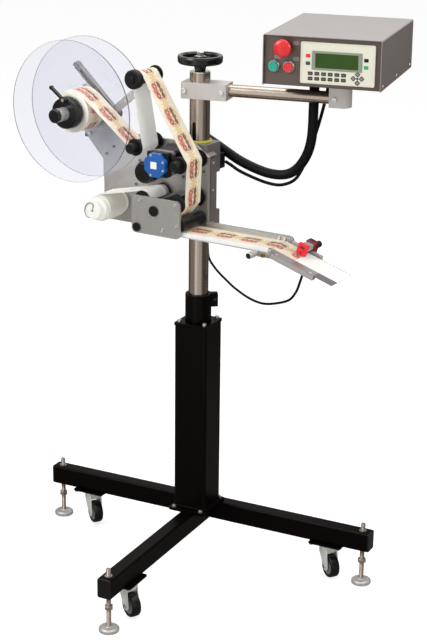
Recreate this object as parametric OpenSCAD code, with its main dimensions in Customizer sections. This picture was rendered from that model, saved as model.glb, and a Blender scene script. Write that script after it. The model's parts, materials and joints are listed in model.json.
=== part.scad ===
// Flat surface labelling machine on a three-legged stand.
// Millimetres, +Z up, front toward -Y, origin under the middle of the footprint.

/* [Stand] */
// Length of the cross beam
beam_length = 924; // [860:2:980]
// Reach of the front leg ahead of the pole axis
leg_reach = 478; // [440:1:520]
// Width of the base tubes
base_tube_w = 38; // [34:1:42]
// Height of the base tubes
base_tube_h = 51; // [46:1:56]
// Wall of the base tubes
base_tube_wall = 3; // [2:0.5:4]
// Height of the base tubes' underside above the floor
base_clearance = 95; // [92:1:104]
// Distance of the cross beam's middle behind the pole axis
beam_offset = 59; // [56:1:66]
// Side of the square column
column_side = 90; // [84:1:96]
// Height of the column tube
column_height = 493; // [440:1:530]
// Wall of the column tube
column_wall = 5; // [4:0.5:6]
// Diameter of the pole
pole_d = 50; // [48:0.5:52]
// Height of the pole's top above the floor
pole_top = 1283; // [1270:1:1300]
// Wall of the pole
pole_wall = 3; // [2.5:0.5:4]
// Diameter of the levelling studs
stud_d = 12; // [10:0.5:14]
// Diameter of the foot pads
pad_d = 50; // [44:1:60]
// Distance of a levelling foot from the end of its tube
foot_inset = 18; // [16:1:24]
// Distance from a levelling foot to its castor
castor_inset = 94; // [86:1:104]
// Diameter of the castor wheels
wheel_d = 61; // [54:1:66]
// Width of the castor wheels
wheel_w = 25; // [20:1:28]

/* [Boom and control box] */
// Angle of the boom, counter-clockwise from above
boom_swing = 9; // [6:0.5:12]
// Height of the boom tube's axis above the floor
boom_z = 1244; // [1238:1:1246]
// Diameter of the boom tube
boom_d = 30; // [28:0.5:32]
// Distance of the box's middle from the pole axis
box_reach = 342; // [330:1:360]
// Width of the control box
box_w = 275; // [265:1:300]
// Depth of the control box
box_d = 345; // [320:1:360]
// Height of the control box
box_h = 115; // [110:1:130]
// Sheet thickness of the control box
box_sheet = 2; // [1.5:0.25:2.5]

/* [Height drive] */
// Diameter of the lead screw
screw_d = 16; // [14:0.5:18]
// Diameter of the handwheel
handwheel_d = 110; // [100:1:116]

/* [Labelling head] */
// Angle of the head, counter-clockwise from above
head_swing = -5; // [-8:0.5:-3]
// Height of the head plate's lower edge above the floor
head_z = 893; // [870:1:900]
// Thickness of the head plate
plate_t = 10; // [8:0.5:10]
// Width of the label web
web_w = 68; // [60:1:70]
// Radius of the reel discs
disc_r = 175; // [160:1:180]
// Radius of the label roll
roll_r = 52; // [46:1:58]
// Radius of the roll's core
core_r = 38; // [36:0.5:40]
// Radius of the idler rollers
idler_r = 16; // [14:0.5:17]
// Radius of the guide roller over the table
guide_r = 17; // [15:0.5:18]
// Radius of the drive roller
drive_r = 27; // [25:0.5:28]
// Radius of the rewind mandrel
mandrel_r = 29; // [26:0.5:30]
// Radius of the wound backing liner
wound_r = 33; // [31:0.5:36]
// Diameter of the dead shafts
shaft_d = 10; // [9:0.5:12]
// Side of the feed motor
motor_side = 60; // [56:1:62]
// Length of the nose plate from its hinge
nose_length = 180; // [170:1:190]
// Tilt of the nose plate below level
nose_tilt = 17.4; // [12:0.2:20]

/* [Hidden] */
$fn = 48;
run_gap = 0.05;
web_gap = 0.3;
web_t = 0.6;
side_gap = 0.3;

// Stand levels
beam_top = base_clearance + base_tube_h;
foot_plate_t = 8;
column_z = beam_top + foot_plate_t;
cap_z = column_z + column_height;
cap_t = 8;
sleeve_z = cap_z + cap_t;
sleeve_h = 72;
beam_back = beam_offset + base_tube_w / 2;
beam_front = beam_offset - base_tube_w / 2;
foot_spots = [
  [-beam_length / 2 + foot_inset, beam_offset],
  [beam_length / 2 - foot_inset, beam_offset],
  [0, -leg_reach + foot_inset]
];
castor_spots = [
  [-beam_length / 2 + foot_inset + castor_inset, beam_offset],
  [beam_length / 2 - foot_inset - castor_inset, beam_offset],
  [0, -leg_reach + foot_inset + castor_inset]
];
castor_angles = [-38, -40, -32];
castor_plate_t = 4;
castor_trail = 18;
kingpin_d = 12;
axle_d = 8;
wheel_lift = 4;
axle_z = wheel_lift + wheel_d / 2;
crown_top = base_clearance - castor_plate_t - side_gap;
crown_t = 9;
cheek_t = 3;
axle_boss = 24;
pad_t = 14;

// Pole, drive and boom levels
pole_in = pole_d - 2 * pole_wall;
plug_h = 20;
flange_t = 4;
journal_d = 12;
screw_top = pole_top - plug_h - 1;
wheel_hub_z = pole_top + flange_t + side_gap;
rim_z = wheel_hub_z + 18;
rim_h = 20;
nut_z = rim_z + rim_h - 3;
clamp_h = 40;
clamp_z = boom_z - 22;
boom_start = pole_d / 2 + 5;
boom_head_s = box_reach - 17;
box_z = boom_z + 54;
box_lip = 8;
panel_t = -box_d / 2 + box_lip;
box_left = box_reach - box_w / 2;
estop_at = [box_left + 49, box_z + box_h - 28];
start_at = [box_left + 25, box_z + box_h - 72];
stop_at = [box_left + 60, box_z + box_h - 72];
display_w = 172;
display_h = 94;
display_left = box_left + 88;
display_z = box_z + 9;
key_step = 15.4;

// Head: u to the right, n to the front, z up from the plate's lower edge
plate_n1 = 45;
plate_n0 = plate_n1 - plate_t;
roller_n0 = 50;
roller_n1 = 145;
web_n0 = 102 - web_w / 2;
web_n1 = 102 + web_w / 2;
small_n0 = 147;
small_n1 = 155;
disc_t = 4;
back_disc_n = 60.5;
front_disc_n = 138;
hub = [-285, 284];
dancer_pivot = [-232, 267];
dancer_at = [-90, 386];
tail_at = [-350, 376];
collar_n1 = 167;
lever_offset = [4, 35];
low_at = [-93, 221];
up_at = [33, 193];
mid_at = [29, 97];
guide_at = [34, 47];
drive_at = [-31, 75];
nip_at = [-72, 97];
bar_at = [-80, 29];
mandrel_at = [-203, 53];
knob_at = [-108, 144];
motor_at = [-24, 189];
post_at = [-7.5, 30];
bar_r = 12;
nip_r = norm(nip_at - drive_at) - drive_r - 2 * web_gap - web_t - 0.02;
flange_r = idler_r + 5;
hub_shaft_d = 24;
stub_d = 33;
table_top = guide_at[1] - guide_r - web_gap - web_t;
table_t = 10;
table_end = 285;
hinge_at = [table_end, table_top - 5];
hinge_d = 6;
lip_n = 60.6;
lip_end = 98;
pin_at = [278, table_top - table_t - 9.6];
thumb_at = [248, pin_at[1] + 5];
pin_r = 4;
post_d = 12;
pole_clear = pole_d + 8;
block_bore = pole_d + 2 * run_gap;
key_w = 9.9;
slot_w = 10;
slot_rise = 273;

// Footprint middle
left_x = (hub[0] - disc_r) * cos(head_swing) + (front_disc_n + disc_t) * sin(head_swing);
right_x = (box_reach + box_w / 2) * cos(boom_swing) + box_d / 2 * sin(boom_swing);
front_y = -leg_reach + foot_inset - pad_d / 2;
rear_y = (box_reach + box_w / 2) * sin(boom_swing) + box_d / 2 * cos(boom_swing);
mid_x = (left_x + right_x) / 2;
mid_y = (front_y + rear_y) / 2;

// Cord routes, measured from the pole axis and the floor
hose_d = 24;
hose_route = [
  [-14, 62, 1111], [15, 62, 1096], [44, 63, 1080], [73, 63, 1065], [100, 64, 1054], [128, 65, 1045],
  [156, 66, 1039], [184, 67, 1038], [208, 68, 1043], [228, 69, 1056], [245, 70, 1077], [258, 71, 1104],
  [265, 72, 1135], [267, 73, 1168], [267, 74, 1200], [267, 76, 1250], [267, 76, 1298]
];
signal_d = 8;
signal_route = [
  [48, 46, 1060], [62, 47, 1053], [82, 54, 1039], [112, 66, 1024], [150, 74, 1012], [185, 80, 1010],
  [218, 86, 1026], [238, 92, 1062], [253, 95, 1105], [270, 97, 1160], [284, 98, 1215], [292, 99, 1258],
  [292, 99, 1298]
];
// Sensor cable in the head's own u, n, z
lead_d = 6;
lead_route = [
  [-4, -39, 10], [-4, -42, -20], [-4, -48, -50], [-2, -51, -86], [10, -57, -110], [28, -57, -126],
  [54, -50, -139], [97, -14, -140], [167, 38, -139], [230, 80, -131], [282, 105, -115], [330, 127, -92],
  [358, 145, -62], [371, 152, -35], [377, 152, -16]
];

function spline(p, k) = concat(
  [for (i = [0 : len(p) - 2], j = [0 : k - 1])
    let (
      a = p[max(i - 1, 0)],
      b = p[i],
      c = p[i + 1],
      d = p[min(i + 2, len(p) - 1)],
      t = j / k
    )
    0.5 * (2 * b + (c - a) * t + (2 * a - 5 * b + 4 * c - d) * t * t + (3 * b - a - 3 * c + d) * t * t * t)],
  [p[len(p) - 1]]
);
function unit(v) = v / norm(v);
function heading(p, i) = unit(p[min(i + 1, len(p) - 1)] - p[max(i - 1, 0)]);
function ring(p, i, r, sides) =
  let (
    t = heading(p, i),
    a = unit(cross(t, [0, 1, 0])),
    b = cross(t, a)
  )
  [for (j = [0 : sides - 1]) p[i] + r * (cos(360 * j / sides) * a + sin(360 * j / sides) * b)];

// One swept tube through the route's points
module cord(route, d, sides) {
  rings = len(route);
  spots = [for (i = [0 : rings - 1]) each ring(route, i, d / 2, sides)];
  skin = [for (i = [0 : rings - 2], j = [0 : sides - 1])
    let (
      k = (j + 1) % sides,
      a = i * sides + j,
      b = i * sides + k,
      c = a + sides,
      e = b + sides
    )
    each [[a, b, e], [a, e, c]]];
  near = [for (j = [1 : sides - 2]) [0, j + 1, j]];
  last = (rings - 1) * sides;
  far = [for (j = [1 : sides - 2]) [last, last + j, last + j + 1]];
  polyhedron(points = spots, faces = concat(skin, near, far));
}

// Web paths: circles as [u, z, radius, side]; side 1 keeps the centre on the left of travel
function bearing(a, b) =
  atan2(b[1] - a[1], b[0] - a[0]) - asin((b[3] * b[2] - a[3] * a[2]) / norm([b[0] - a[0], b[1] - a[1]]));
function touch(c, th) = [c[0] + c[3] * c[2] * sin(th), c[1] - c[3] * c[2] * cos(th)];
function turn(c, a, b) = c[3] > 0 ? (b - a + 720) % 360 : -((a - b + 720) % 360);
function web_path(c) = concat(
  [touch(c[0], bearing(c[0], c[1]))],
  [for (i = [1 : len(c) - 2])
    let (
      a = bearing(c[i - 1], c[i]),
      b = bearing(c[i], c[i + 1]),
      w = turn(c[i], a, b),
      k = max(1, ceil(abs(w) / 12))
    )
    for (j = [0 : k]) touch(c[i], a + w * j / k)],
  [touch(c[len(c) - 1], bearing(c[len(c) - 2], c[len(c) - 1]))]
);
function side_of(p, i) = let (t = heading(p, i)) [-t[1], t[0]];
function strip(p, t) = concat(
  [for (i = [0 : len(p) - 1]) p[i] + side_of(p, i) * t / 2],
  [for (i = [len(p) - 1 : -1 : 0]) p[i] - side_of(p, i) * t / 2]
);
function wrap(at, r, side) = [at[0], at[1], r + web_gap + web_t / 2, side];
function on_tilt(x, z) = [
  hinge_at[0] + x * cos(nose_tilt) + z * sin(nose_tilt),
  hinge_at[1] - x * sin(nose_tilt) + z * cos(nose_tilt)
];
label_path = web_path([
  wrap(hub, roll_r, -1), wrap(low_at, idler_r, 1), wrap(dancer_at, idler_r, -1), wrap(up_at, idler_r, -1),
  wrap(mid_at, idler_r, -1), wrap(guide_at, guide_r, 1), [table_end, table_top + web_t / 2, 0, 1]
]);
tip_at = on_tilt(nose_length - 1.25, 3.25);
nose_start = on_tilt(0, 5.1);
liner_path = web_path([
  [nose_start[0], nose_start[1], 0, 1], wrap(tip_at, 1.25, -1), wrap(pin_at, pin_r, 1),
  wrap(bar_at, bar_r, -1), wrap(nip_at, nip_r, 1), wrap(mandrel_at, wound_r, 1)
]);

module on_stand() {
  translate([-mid_x, -mid_y, 0]) children();
}

module on_head() {
  on_stand() rotate([0, 0, head_swing]) translate([0, 0, head_z]) children();
}

module on_boom() {
  on_stand() rotate([0, 0, boom_swing]) children();
}

module on_nose() {
  on_head() translate([hinge_at[0], 0, hinge_at[1]]) rotate([0, nose_tilt, 0]) children();
}

// Bar along n at a head position
module rod(at, n0, n1, d) {
  translate([at[0], -n0, at[1]]) rotate([90, 0, 0]) cylinder(h = n1 - n0, d = d);
}

module slab(u0, u1, n0, n1, z0, z1) {
  translate([u0, -n1, z0]) cube([u1 - u0, n1 - n0, z1 - z0]);
}

module brick(x0, x1, y0, y1, z0, z1) {
  translate([x0, y0, z0]) cube([x1 - x0, y1 - y0, z1 - z0]);
}

module post(x, y, z0, z1, d) {
  translate([x, y, z0]) cylinder(h = z1 - z0, d = d);
}

// Flat plate in the u-z plane
module profile(n0, n1) {
  translate([0, -n0, 0]) rotate([90, 0, 0]) linear_extrude(height = n1 - n0) children();
}

module round_rect(w, h, r) {
  translate([r, 0]) square([w - 2 * r, h]);
  translate([0, r]) square([w, h - 2 * r]);
  for (x = [r, w - r], y = [r, h - r]) translate([x, y]) circle(r = r);
}

module base_holes() {
  for (p = foot_spots) post(p[0], p[1], base_clearance - 1, beam_top + 1, stud_d + 2 * run_gap);
  for (p = castor_spots) post(p[0], p[1], base_clearance - 1, base_clearance + 12, kingpin_d + 4);
}

module cross_beam() color([0.07, 0.07, 0.07]) on_stand() {
  difference() {
    brick(-beam_length / 2, beam_length / 2, beam_front, beam_back, base_clearance, beam_top);
    brick(-beam_length / 2 - 1, beam_length / 2 + 1, beam_front + base_tube_wall, beam_back - base_tube_wall,
      base_clearance + base_tube_wall, beam_top - base_tube_wall);
    base_holes();
  }
}

module front_leg() color([0.07, 0.07, 0.07]) on_stand() {
  w = base_tube_w / 2;
  difference() {
    brick(-w, w, -leg_reach, beam_front, base_clearance, beam_top);
    brick(-w + base_tube_wall, w - base_tube_wall, -leg_reach - 1, beam_front + 1,
      base_clearance + base_tube_wall, beam_top - base_tube_wall);
    base_holes();
  }
}

// End caps, castor plates and foot bolts
module leg_fittings() color([0.1, 0.1, 0.1]) on_stand() {
  w = base_tube_w / 2;
  g = base_tube_wall;
  for (s = [-1, 1]) {
    x = s * beam_length / 2;
    brick(min(x, x + 5 * s), max(x, x + 5 * s), beam_front, beam_back, base_clearance, beam_top);
    brick(min(x, x - 6 * s), max(x, x - 6 * s), beam_front + g, beam_back - g,
      base_clearance + g, beam_top - g);
  }
  brick(-w, w, -leg_reach - 5, -leg_reach, base_clearance, beam_top);
  brick(-w + g, w - g, -leg_reach, -leg_reach + 6, base_clearance + g, beam_top - g);
  for (i = [0 : 2]) {
    p = castor_spots[i];
    long = i < 2 ? [45, 31] : [31, 45];
    difference() {
      brick(p[0] - long[0], p[0] + long[0], p[1] - long[1], p[1] + long[1],
        base_clearance - castor_plate_t, base_clearance);
      post(p[0], p[1], base_clearance - 10, base_clearance + 1, kingpin_d + 2 * run_gap);
    }
  }
  for (x = [-38, 38], s = [-1, 1]) post(x, s * (column_side / 2 + 9), column_z, column_z + 5, 12);
  for (x = [-35, 35], y = [-35, 35]) post(x, y, sleeve_z, sleeve_z + 6, 11);
}

// Square tube with its foot plate and cap plate
module column() color([0.07, 0.07, 0.07]) on_stand() {
  a = column_side / 2;
  b = a - column_wall;
  difference() {
    union() {
      brick(-a - 6, a + 6, -a - 17, a + 17, beam_top, column_z);
      brick(-a, a, -a, a, column_z, cap_z);
      brick(-a - 1, a + 1, -a - 1, a + 1, cap_z, sleeve_z);
    }
    brick(-b, b, -b, b, column_z, cap_z);
    post(0, 0, cap_z - 1, sleeve_z + 1, pole_d);
  }
}

// Split sleeve that grips the pole above the column
module pole_sleeve() color([0.08, 0.08, 0.08]) on_stand() {
  difference() {
    union() {
      post(0, 0, sleeve_z, sleeve_z + sleeve_h, pole_d + 16);
      rotate([0, 0, 35]) brick(pole_d / 2, pole_d / 2 + 24, -9, 9, sleeve_z + 36, sleeve_z + sleeve_h);
    }
    post(0, 0, sleeve_z - 1, sleeve_z + sleeve_h + 1, pole_d);
    rotate([0, 0, 35]) brick(pole_d / 2 - 4, pole_d / 2 + 25, -1, 1, sleeve_z + 30, sleeve_z + sleeve_h + 1);
  }
  rotate([0, 0, 35]) translate([pole_d / 2 + 16, 13, sleeve_z + 56]) rotate([90, 0, 0])
    cylinder(h = 4, d = 13);
}

// Slotted tube closed at the top by the screw's bearing plug
module pole() color([0.62, 0.6, 0.58]) on_stand() {
  difference() {
    post(0, 0, column_z, pole_top, pole_d);
    post(0, 0, column_z - 1, pole_top + 1, pole_in);
    rotate([0, 0, head_swing]) {
      brick(-slot_w / 2, slot_w / 2, -pole_d / 2 - 4, -pole_in / 2 + 4, head_z - 10, head_z + slot_rise - slot_w / 2);
      translate([0, -pole_in / 2 + 4, head_z + slot_rise - slot_w / 2]) rotate([90, 0, 0])
        cylinder(h = pole_wall + 8, d = slot_w);
    }
  }
  difference() {
    union() {
      post(0, 0, pole_top - plug_h, pole_top, pole_in);
      post(0, 0, pole_top, pole_top + flange_t, pole_d - 1);
    }
    post(0, 0, pole_top - plug_h - 1, pole_top + flange_t + 1, journal_d + 2 * run_gap);
  }
}

module boom_clamp() color([0.74, 0.74, 0.74]) on_boom() {
  difference() {
    brick(-40, 75, -27.5, 27.5, clamp_z, clamp_z + clamp_h);
    post(0, 0, clamp_z - 1, clamp_z + clamp_h + 1, pole_d);
    brick(-41, -pole_d / 2 + 4, -1.5, 1.5, clamp_z - 1, clamp_z + clamp_h + 1);
    translate([boom_start, 0, boom_z]) rotate([0, 90, 0]) cylinder(h = 80, d = boom_d);
  }
  translate([-32, -27.5, clamp_z + 20]) rotate([90, 0, 0]) cylinder(h = 6, d = 13);
  translate([62, -27.5, clamp_z + 20]) rotate([90, 0, 0]) cylinder(h = 5, d = 11);
}

module boom_tube() color([0.7, 0.69, 0.67]) on_boom() {
  translate([boom_start, 0, boom_z]) rotate([0, 90, 0]) difference() {
    cylinder(h = boom_head_s + 28 - boom_start, d = boom_d);
    translate([0, 0, -1]) cylinder(h = boom_head_s + 30 - boom_start, d = boom_d - 5);
  }
}

module boom_head() color([0.74, 0.74, 0.74]) on_boom() {
  difference() {
    union() {
      brick(boom_head_s, boom_head_s + 28, -22.5, 22.5, boom_z - 20, box_z);
      post(boom_head_s + 28, 0, boom_z - 20, box_z, 45);
    }
    translate([boom_head_s - 1, 0, boom_z]) rotate([0, 90, 0]) cylinder(h = 29, d = boom_d);
  }
  translate([boom_head_s + 14, -22.5, boom_z]) rotate([90, 0, 0]) cylinder(h = 5, d = 11);
}

module on_panel(at) {
  translate([at[0], panel_t, at[1]]) rotate([90, 0, 0]) children();
}

// Bottom, front and back of the control box in one bent sheet
module box_chassis() color([0.45, 0.42, 0.39]) on_boom() {
  g = box_sheet;
  x0 = box_left + g + 0.2;
  x1 = box_left + box_w - g - 0.2;
  z1 = box_z + box_h - g - 0.2;
  difference() {
    union() {
      brick(x0, x1, panel_t, -panel_t, box_z, box_z + g);
      brick(x0, x1, panel_t, panel_t + g, box_z, z1);
      brick(x0, x1, -panel_t - g, -panel_t, box_z, z1);
    }
    on_panel(estop_at) translate([0, 0, -5]) cylinder(h = 10, d = 18);
    on_panel(start_at) translate([0, 0, -5]) cylinder(h = 10, d = 24);
    on_panel(stop_at) translate([0, 0, -5]) cylinder(h = 10, d = 24);
  }
}

module box_cover() color([0.78, 0.78, 0.78]) on_boom() {
  g = box_sheet;
  difference() {
    brick(box_left, box_left + box_w, -box_d / 2, box_d / 2, box_z, box_z + box_h);
    brick(box_left + g, box_left + box_w - g, -box_d / 2 - 1, box_d / 2 + 1, box_z - 1, box_z + box_h - g);
  }
}

// Board on standoffs and a supply block on the box floor
module control_board() color([0.1, 0.35, 0.2]) on_boom() {
  z = box_z + box_sheet;
  for (x = [-90, 60], y = [-50, 70]) post(box_reach + x, y, z, z + 10, 8);
  brick(box_reach - 96, box_reach + 66, -56, 76, z + 10, z + 12);
  brick(box_reach - 80, box_reach - 40, -30, 20, z + 12, z + 30);
  brick(box_reach - 10, box_reach + 40, 10, 50, z + 12, z + 26);
  brick(box_reach + 74, box_reach + 124, -60, 80, z, z + 40);
}

// Operator panel with its bezel and raised keys
module display_panel() color([0.86, 0.85, 0.76]) on_boom() {
  x = display_left;
  z = display_z;
  brick(x, x + display_w, panel_t - 6, panel_t, z, z + display_h);
  brick(x + 27, x + 143, panel_t - 7.5, panel_t - 6, z + 32, z + 75);
  for (i = [0 : 5], j = [0, 1])
    brick(x + 18.5 + i * key_step, x + 29.5 + i * key_step, panel_t - 7, panel_t - 6, z + 8 + j * 11.5, z + 16 + j * 11.5);
  for (j = [0, 1]) {
    brick(x + 13, x + 23, panel_t - 7, panel_t - 6, z + 42 + j * 17, z + 50 + j * 17);
    brick(x + 147, x + 157, panel_t - 7, panel_t - 6, z + 40 + j * 16, z + 48 + j * 16);
  }
  translate([x + 133, panel_t - 6, z + 18]) rotate([90, 0, 0]) linear_extrude(height = 1)
    for (a = [0 : 90 : 270]) rotate(a) translate([9.5, 0]) rotate(45) square(8, center = true);
}

// Push-button bezels on the front and cord glands under the floor
module panel_fittings() color([0.2, 0.2, 0.2]) {
  on_stand() {
    box_gland(hose_route, hose_d);
    box_gland(signal_route, signal_d);
  }
  on_boom() bezels();
}

module bezels() {
  on_panel(estop_at) difference() {
    cylinder(h = 9, d = 32);
    translate([0, 0, -1]) cylinder(h = 11, d = 16 + 2 * run_gap);
  }
  for (at = [start_at, stop_at]) on_panel(at) difference() {
    cylinder(h = 6, d = 29);
    translate([0, 0, -1]) cylinder(h = 8, d = 22 + 2 * run_gap);
  }
}

// Gland under the box around a cord's last point
module box_gland(route, d) {
  p = route[len(route) - 1];
  difference() {
    post(p[0], p[1], box_z - 14, box_z, d + 12);
    post(p[0], p[1], box_z - 15, box_z + 1, d + 2 * side_gap);
  }
}

// Mushroom head on a plunger
module estop_button() color([0.85, 0.1, 0.1]) on_boom() on_panel(estop_at) {
  translate([0, 0, -20]) cylinder(h = 36, d = 16);
  translate([0, 0, 16]) cylinder(h = 12, d = 40);
}

module start_button() color([0.05, 0.6, 0.5]) on_boom() on_panel(start_at) {
  translate([0, 0, -16]) cylinder(h = 26, d = 22);
}

module stop_button() color([0.85, 0.12, 0.14]) on_boom() on_panel(stop_at) {
  translate([0, 0, -16]) cylinder(h = 26, d = 22);
}

module supply_hose() color([0.06, 0.06, 0.06]) on_stand() cord(hose_route, hose_d, 12);

module signal_cable() color([0.06, 0.06, 0.06]) on_stand() cord(spline(signal_route, 2), signal_d, 8);

module handwheel() color([0.08, 0.08, 0.08]) on_stand() {
  difference() {
    union() {
      translate([0, 0, wheel_hub_z]) cylinder(h = rim_z - wheel_hub_z + 2, d1 = 26, d2 = 36);
      post(0, 0, rim_z, rim_z + rim_h, handwheel_d);
    }
    difference() {
      post(0, 0, rim_z + 6, rim_z + rim_h + 1, handwheel_d - 24);
      post(0, 0, rim_z, nut_z, 30);
    }
    post(0, 0, wheel_hub_z - 1, nut_z + 1, journal_d);
  }
}

module lead_screw() color([0.6, 0.6, 0.6]) on_stand() {
  post(0, 0, head_z - 30, screw_top, screw_d);
  post(0, 0, screw_top, nut_z + 14, journal_d);
  post(0, 0, nut_z, nut_z + 11, 20);
}

// Swivel fork with its kingpin and axle
module castor_fork(i) {
  p = castor_spots[i];
  y0 = wheel_w / 2 + 1;
  on_stand() translate([p[0], p[1], 0]) rotate([0, 0, castor_angles[i]]) {
    post(0, 0, crown_top - crown_t, crown_top, 44);
    post(0, 0, crown_top, base_clearance + 9, kingpin_d);
    for (s = [-1, 1]) translate([0, s * (y0 + cheek_t / 2) + cheek_t / 2, 0]) rotate([90, 0, 0])
      linear_extrude(height = cheek_t) {
        polygon([
          [-19, crown_top], [20, crown_top], [castor_trail + axle_boss / 2, axle_z],
          [castor_trail - axle_boss / 2, axle_z], [-18, crown_top - 26]
        ]);
        translate([castor_trail, axle_z]) circle(d = axle_boss);
      }
    translate([castor_trail, y0 + cheek_t + 3, axle_z]) rotate([90, 0, 0])
      cylinder(h = 2 * (y0 + cheek_t + 3), d = axle_d);
  }
}

module castor_fork_left() color([0.6, 0.6, 0.58]) castor_fork(0);

module castor_fork_right() color([0.6, 0.6, 0.58]) castor_fork(1);

module castor_fork_front() color([0.6, 0.6, 0.58]) castor_fork(2);

module castor_wheel(i) {
  p = castor_spots[i];
  on_stand() translate([p[0], p[1], 0]) rotate([0, 0, castor_angles[i]])
    translate([castor_trail, wheel_w / 2, axle_z]) rotate([90, 0, 0]) difference() {
      cylinder(h = wheel_w, d = wheel_d);
      translate([0, 0, -1]) cylinder(h = wheel_w + 2, d = axle_d + 2 * run_gap);
    }
}

module castor_wheel_left() color([0.08, 0.08, 0.08]) castor_wheel(0);

module castor_wheel_right() color([0.08, 0.08, 0.08]) castor_wheel(1);

module castor_wheel_front() color([0.08, 0.08, 0.08]) castor_wheel(2);

// Stud with jam nut and floor pad
module foot(i) {
  p = foot_spots[i];
  on_stand() {
    post(p[0], p[1], 0, pad_t, pad_d);
    post(p[0], p[1], pad_t, beam_top + 20, stud_d);
    post(p[0], p[1], 58, 68, stud_d + 10);
  }
}

module foot_left() color([0.7, 0.69, 0.67]) foot(0);

module foot_right() color([0.7, 0.69, 0.67]) foot(1);

module foot_front() color([0.7, 0.69, 0.67]) foot(2);

module head_plate() color([0.68, 0.67, 0.64]) on_head() {
  difference() {
    profile(plate_n0, plate_n1) polygon([
      [-254, 0], [53, 0], [53, 196], [10, 227], [-165, 227], [-175, 238], [-312, 342], [-341, 250], [-254, 153]
    ]);
    rod(hub, plate_n0 - 1, plate_n1 + 1, hub_shaft_d + 2 * run_gap);
    rod(drive_at, plate_n0 - 1, plate_n1 + 1, 14 + 2 * run_gap);
    rod(mandrel_at, plate_n0 - 1, plate_n1 + 1, 12 + 2 * run_gap);
    rod(knob_at, plate_n0 - 1, plate_n1 + 1, 8 + 2 * run_gap);
    rod(dancer_pivot, plate_n0 - 1, plate_n1 + 1, 12 + 2 * run_gap);
  }
}

// Housing and slide blocks on the pole, with the keyed travel nut
module head_carriage() color([0.44, 0.42, 0.42]) on_head() {
  front = [[-53, 0], [53, 0], [53, 196], [10, 222], [-53, 222]];
  inner = [[-48, 5], [48, 5], [48, 193], [9, 217], [-48, 217]];
  difference() {
    union() {
      difference() {
        profile(4, plate_n0) polygon(front);
        profile(3, plate_n0 - 4) polygon(inner);
      }
      slab(-42, 42, -30, plate_n0 - 4, 7, 52);
      slab(-42, 42, -30, plate_n0 - 4, 147, 222);
      post(0, 0, 222, 227, pole_d + 12);
    }
    post(0, 0, -1, 7, pole_clear);
    post(0, 0, 52, 147, pole_clear);
    post(0, 0, 6, 53, block_bore);
    post(0, 0, 146, 223, block_bore);
    post(0, 0, 222, 228, pole_d + 2);
    rod(drive_at, plate_n0 - 20, plate_n0 + 1, 32);
  }
  difference() {
    union() {
      post(0, 0, 165, 200, pole_in - 2);
      brick(-key_w / 2, key_w / 2, -pole_d / 2 - 3, -screw_d / 2 - 2, 165, 200);
    }
    post(0, 0, 164, 201, screw_d + 2 * run_gap);
  }
}

// Black glands behind the carriage, one for each cord
module cable_glands() color([0.08, 0.08, 0.08]) {
  on_head() {
    slab(-42, -22, -48, -30, 196, 221);
    slab(20, 42, -52, -30, 152, 190);
    slab(-14, 6, -48, -30, 10, 30);
  }
  on_stand() {
    translate([-14, 62, head_z + 218]) rotate([0, 116.6, 0]) translate([0, 0, -24 - side_gap])
      cylinder(h = 24, d = hose_d + 6);
    rotate([0, 0, head_swing]) brick(-48, -28, 48, 62, head_z + 200, head_z + 236);
  }
}

module front_plate() color([0.68, 0.67, 0.64]) on_head() {
  difference() {
    profile(small_n0, small_n1) translate([-96, 14]) round_rect(138, 93, 12);
    rod(drive_at, small_n0 - 1, small_n1 + 1, 14 + 2 * run_gap);
  }
}

module dead_shaft(at, n1) {
  rod(at, plate_n1, n1, shaft_d);
  rod(at, plate_n1, roller_n0 - side_gap, shaft_d + 6);
}

// Fixed shafts, return bar, post and the screws on the front plate
module roller_shafts() color([0.62, 0.62, 0.62]) on_head() {
  for (at = [low_at, up_at]) {
    dead_shaft(at, roller_n1 + 2);
    rod(at, roller_n1 + side_gap, roller_n1 + 2, shaft_d + 5);
    rod(at, roller_n1 + 2, roller_n1 + 22, 26);
  }
  for (at = [mid_at, guide_at, nip_at]) {
    dead_shaft(at, small_n0);
    rod(at, small_n1, small_n1 + 3, 8);
  }
  rod(bar_at, plate_n1, small_n0, 2 * bar_r);
  rod(bar_at, small_n1, small_n1 + 4, 22);
  rod(post_at, plate_n1, small_n0, post_d);
  rod(post_at, small_n1, small_n1 + 3, 8);
}

module feed_motor() color([0.1, 0.1, 0.1]) on_head() {
  a = motor_side / 2;
  slab(motor_at[0] - a, motor_at[0] + a, plate_n1, 150, motor_at[1] - a, motor_at[1] + a);
}

module motor_cap() color([0.08, 0.38, 0.68]) on_head() {
  translate([motor_at[0], 0, motor_at[1]]) profile(150, 165) {
    circle(r = 29.5);
    for (i = [0 : 7]) rotate(22.5 + 45 * i) translate([23, 0]) circle(r = 9);
  }
}

// Table plate, side rail, liner pin and the nose's hinge pin
module label_table() color([0.66, 0.65, 0.63]) on_head() {
  difference() {
    union() {
      slab(4, table_end - 6, 60, 142, table_top - table_t, table_top);
      slab(57, 296, plate_n1, 60, 12, 38);
      slab(-10, 57, plate_n1, 60, 6, 18);
      slab(270, 284, 60, 63.7, pin_at[1] - 5, table_top - table_t);
      slab(thumb_at[0] - 10, 284, 138.3, 142, pin_at[1] - 5, table_top - table_t);
      slab(table_end - 8, table_end, 76, 128, hinge_at[1] - 4.5, hinge_at[1] + 4.5);
      rod(hinge_at, 76, 128, 9);
      rod(hinge_at, 60, 146, hinge_d);
      slab(table_end - 8, table_end + 4, 56, 62, hinge_at[1] - 5, hinge_at[1] + 5);
      rod(pin_at, 60, 142, 2 * pin_r);
    }
    slab(190, 288, 50, 55, 34, 39);
    rod(thumb_at, 137, 143, 6 + 2 * run_gap);
  }
}

// Flat bar between two head positions, in the u-z plane
module bar(a, b, w) {
  d = b - a;
  translate(a) rotate(atan2(d[1], d[0])) translate([0, -w / 2]) square([norm(d), w]);
}

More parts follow.
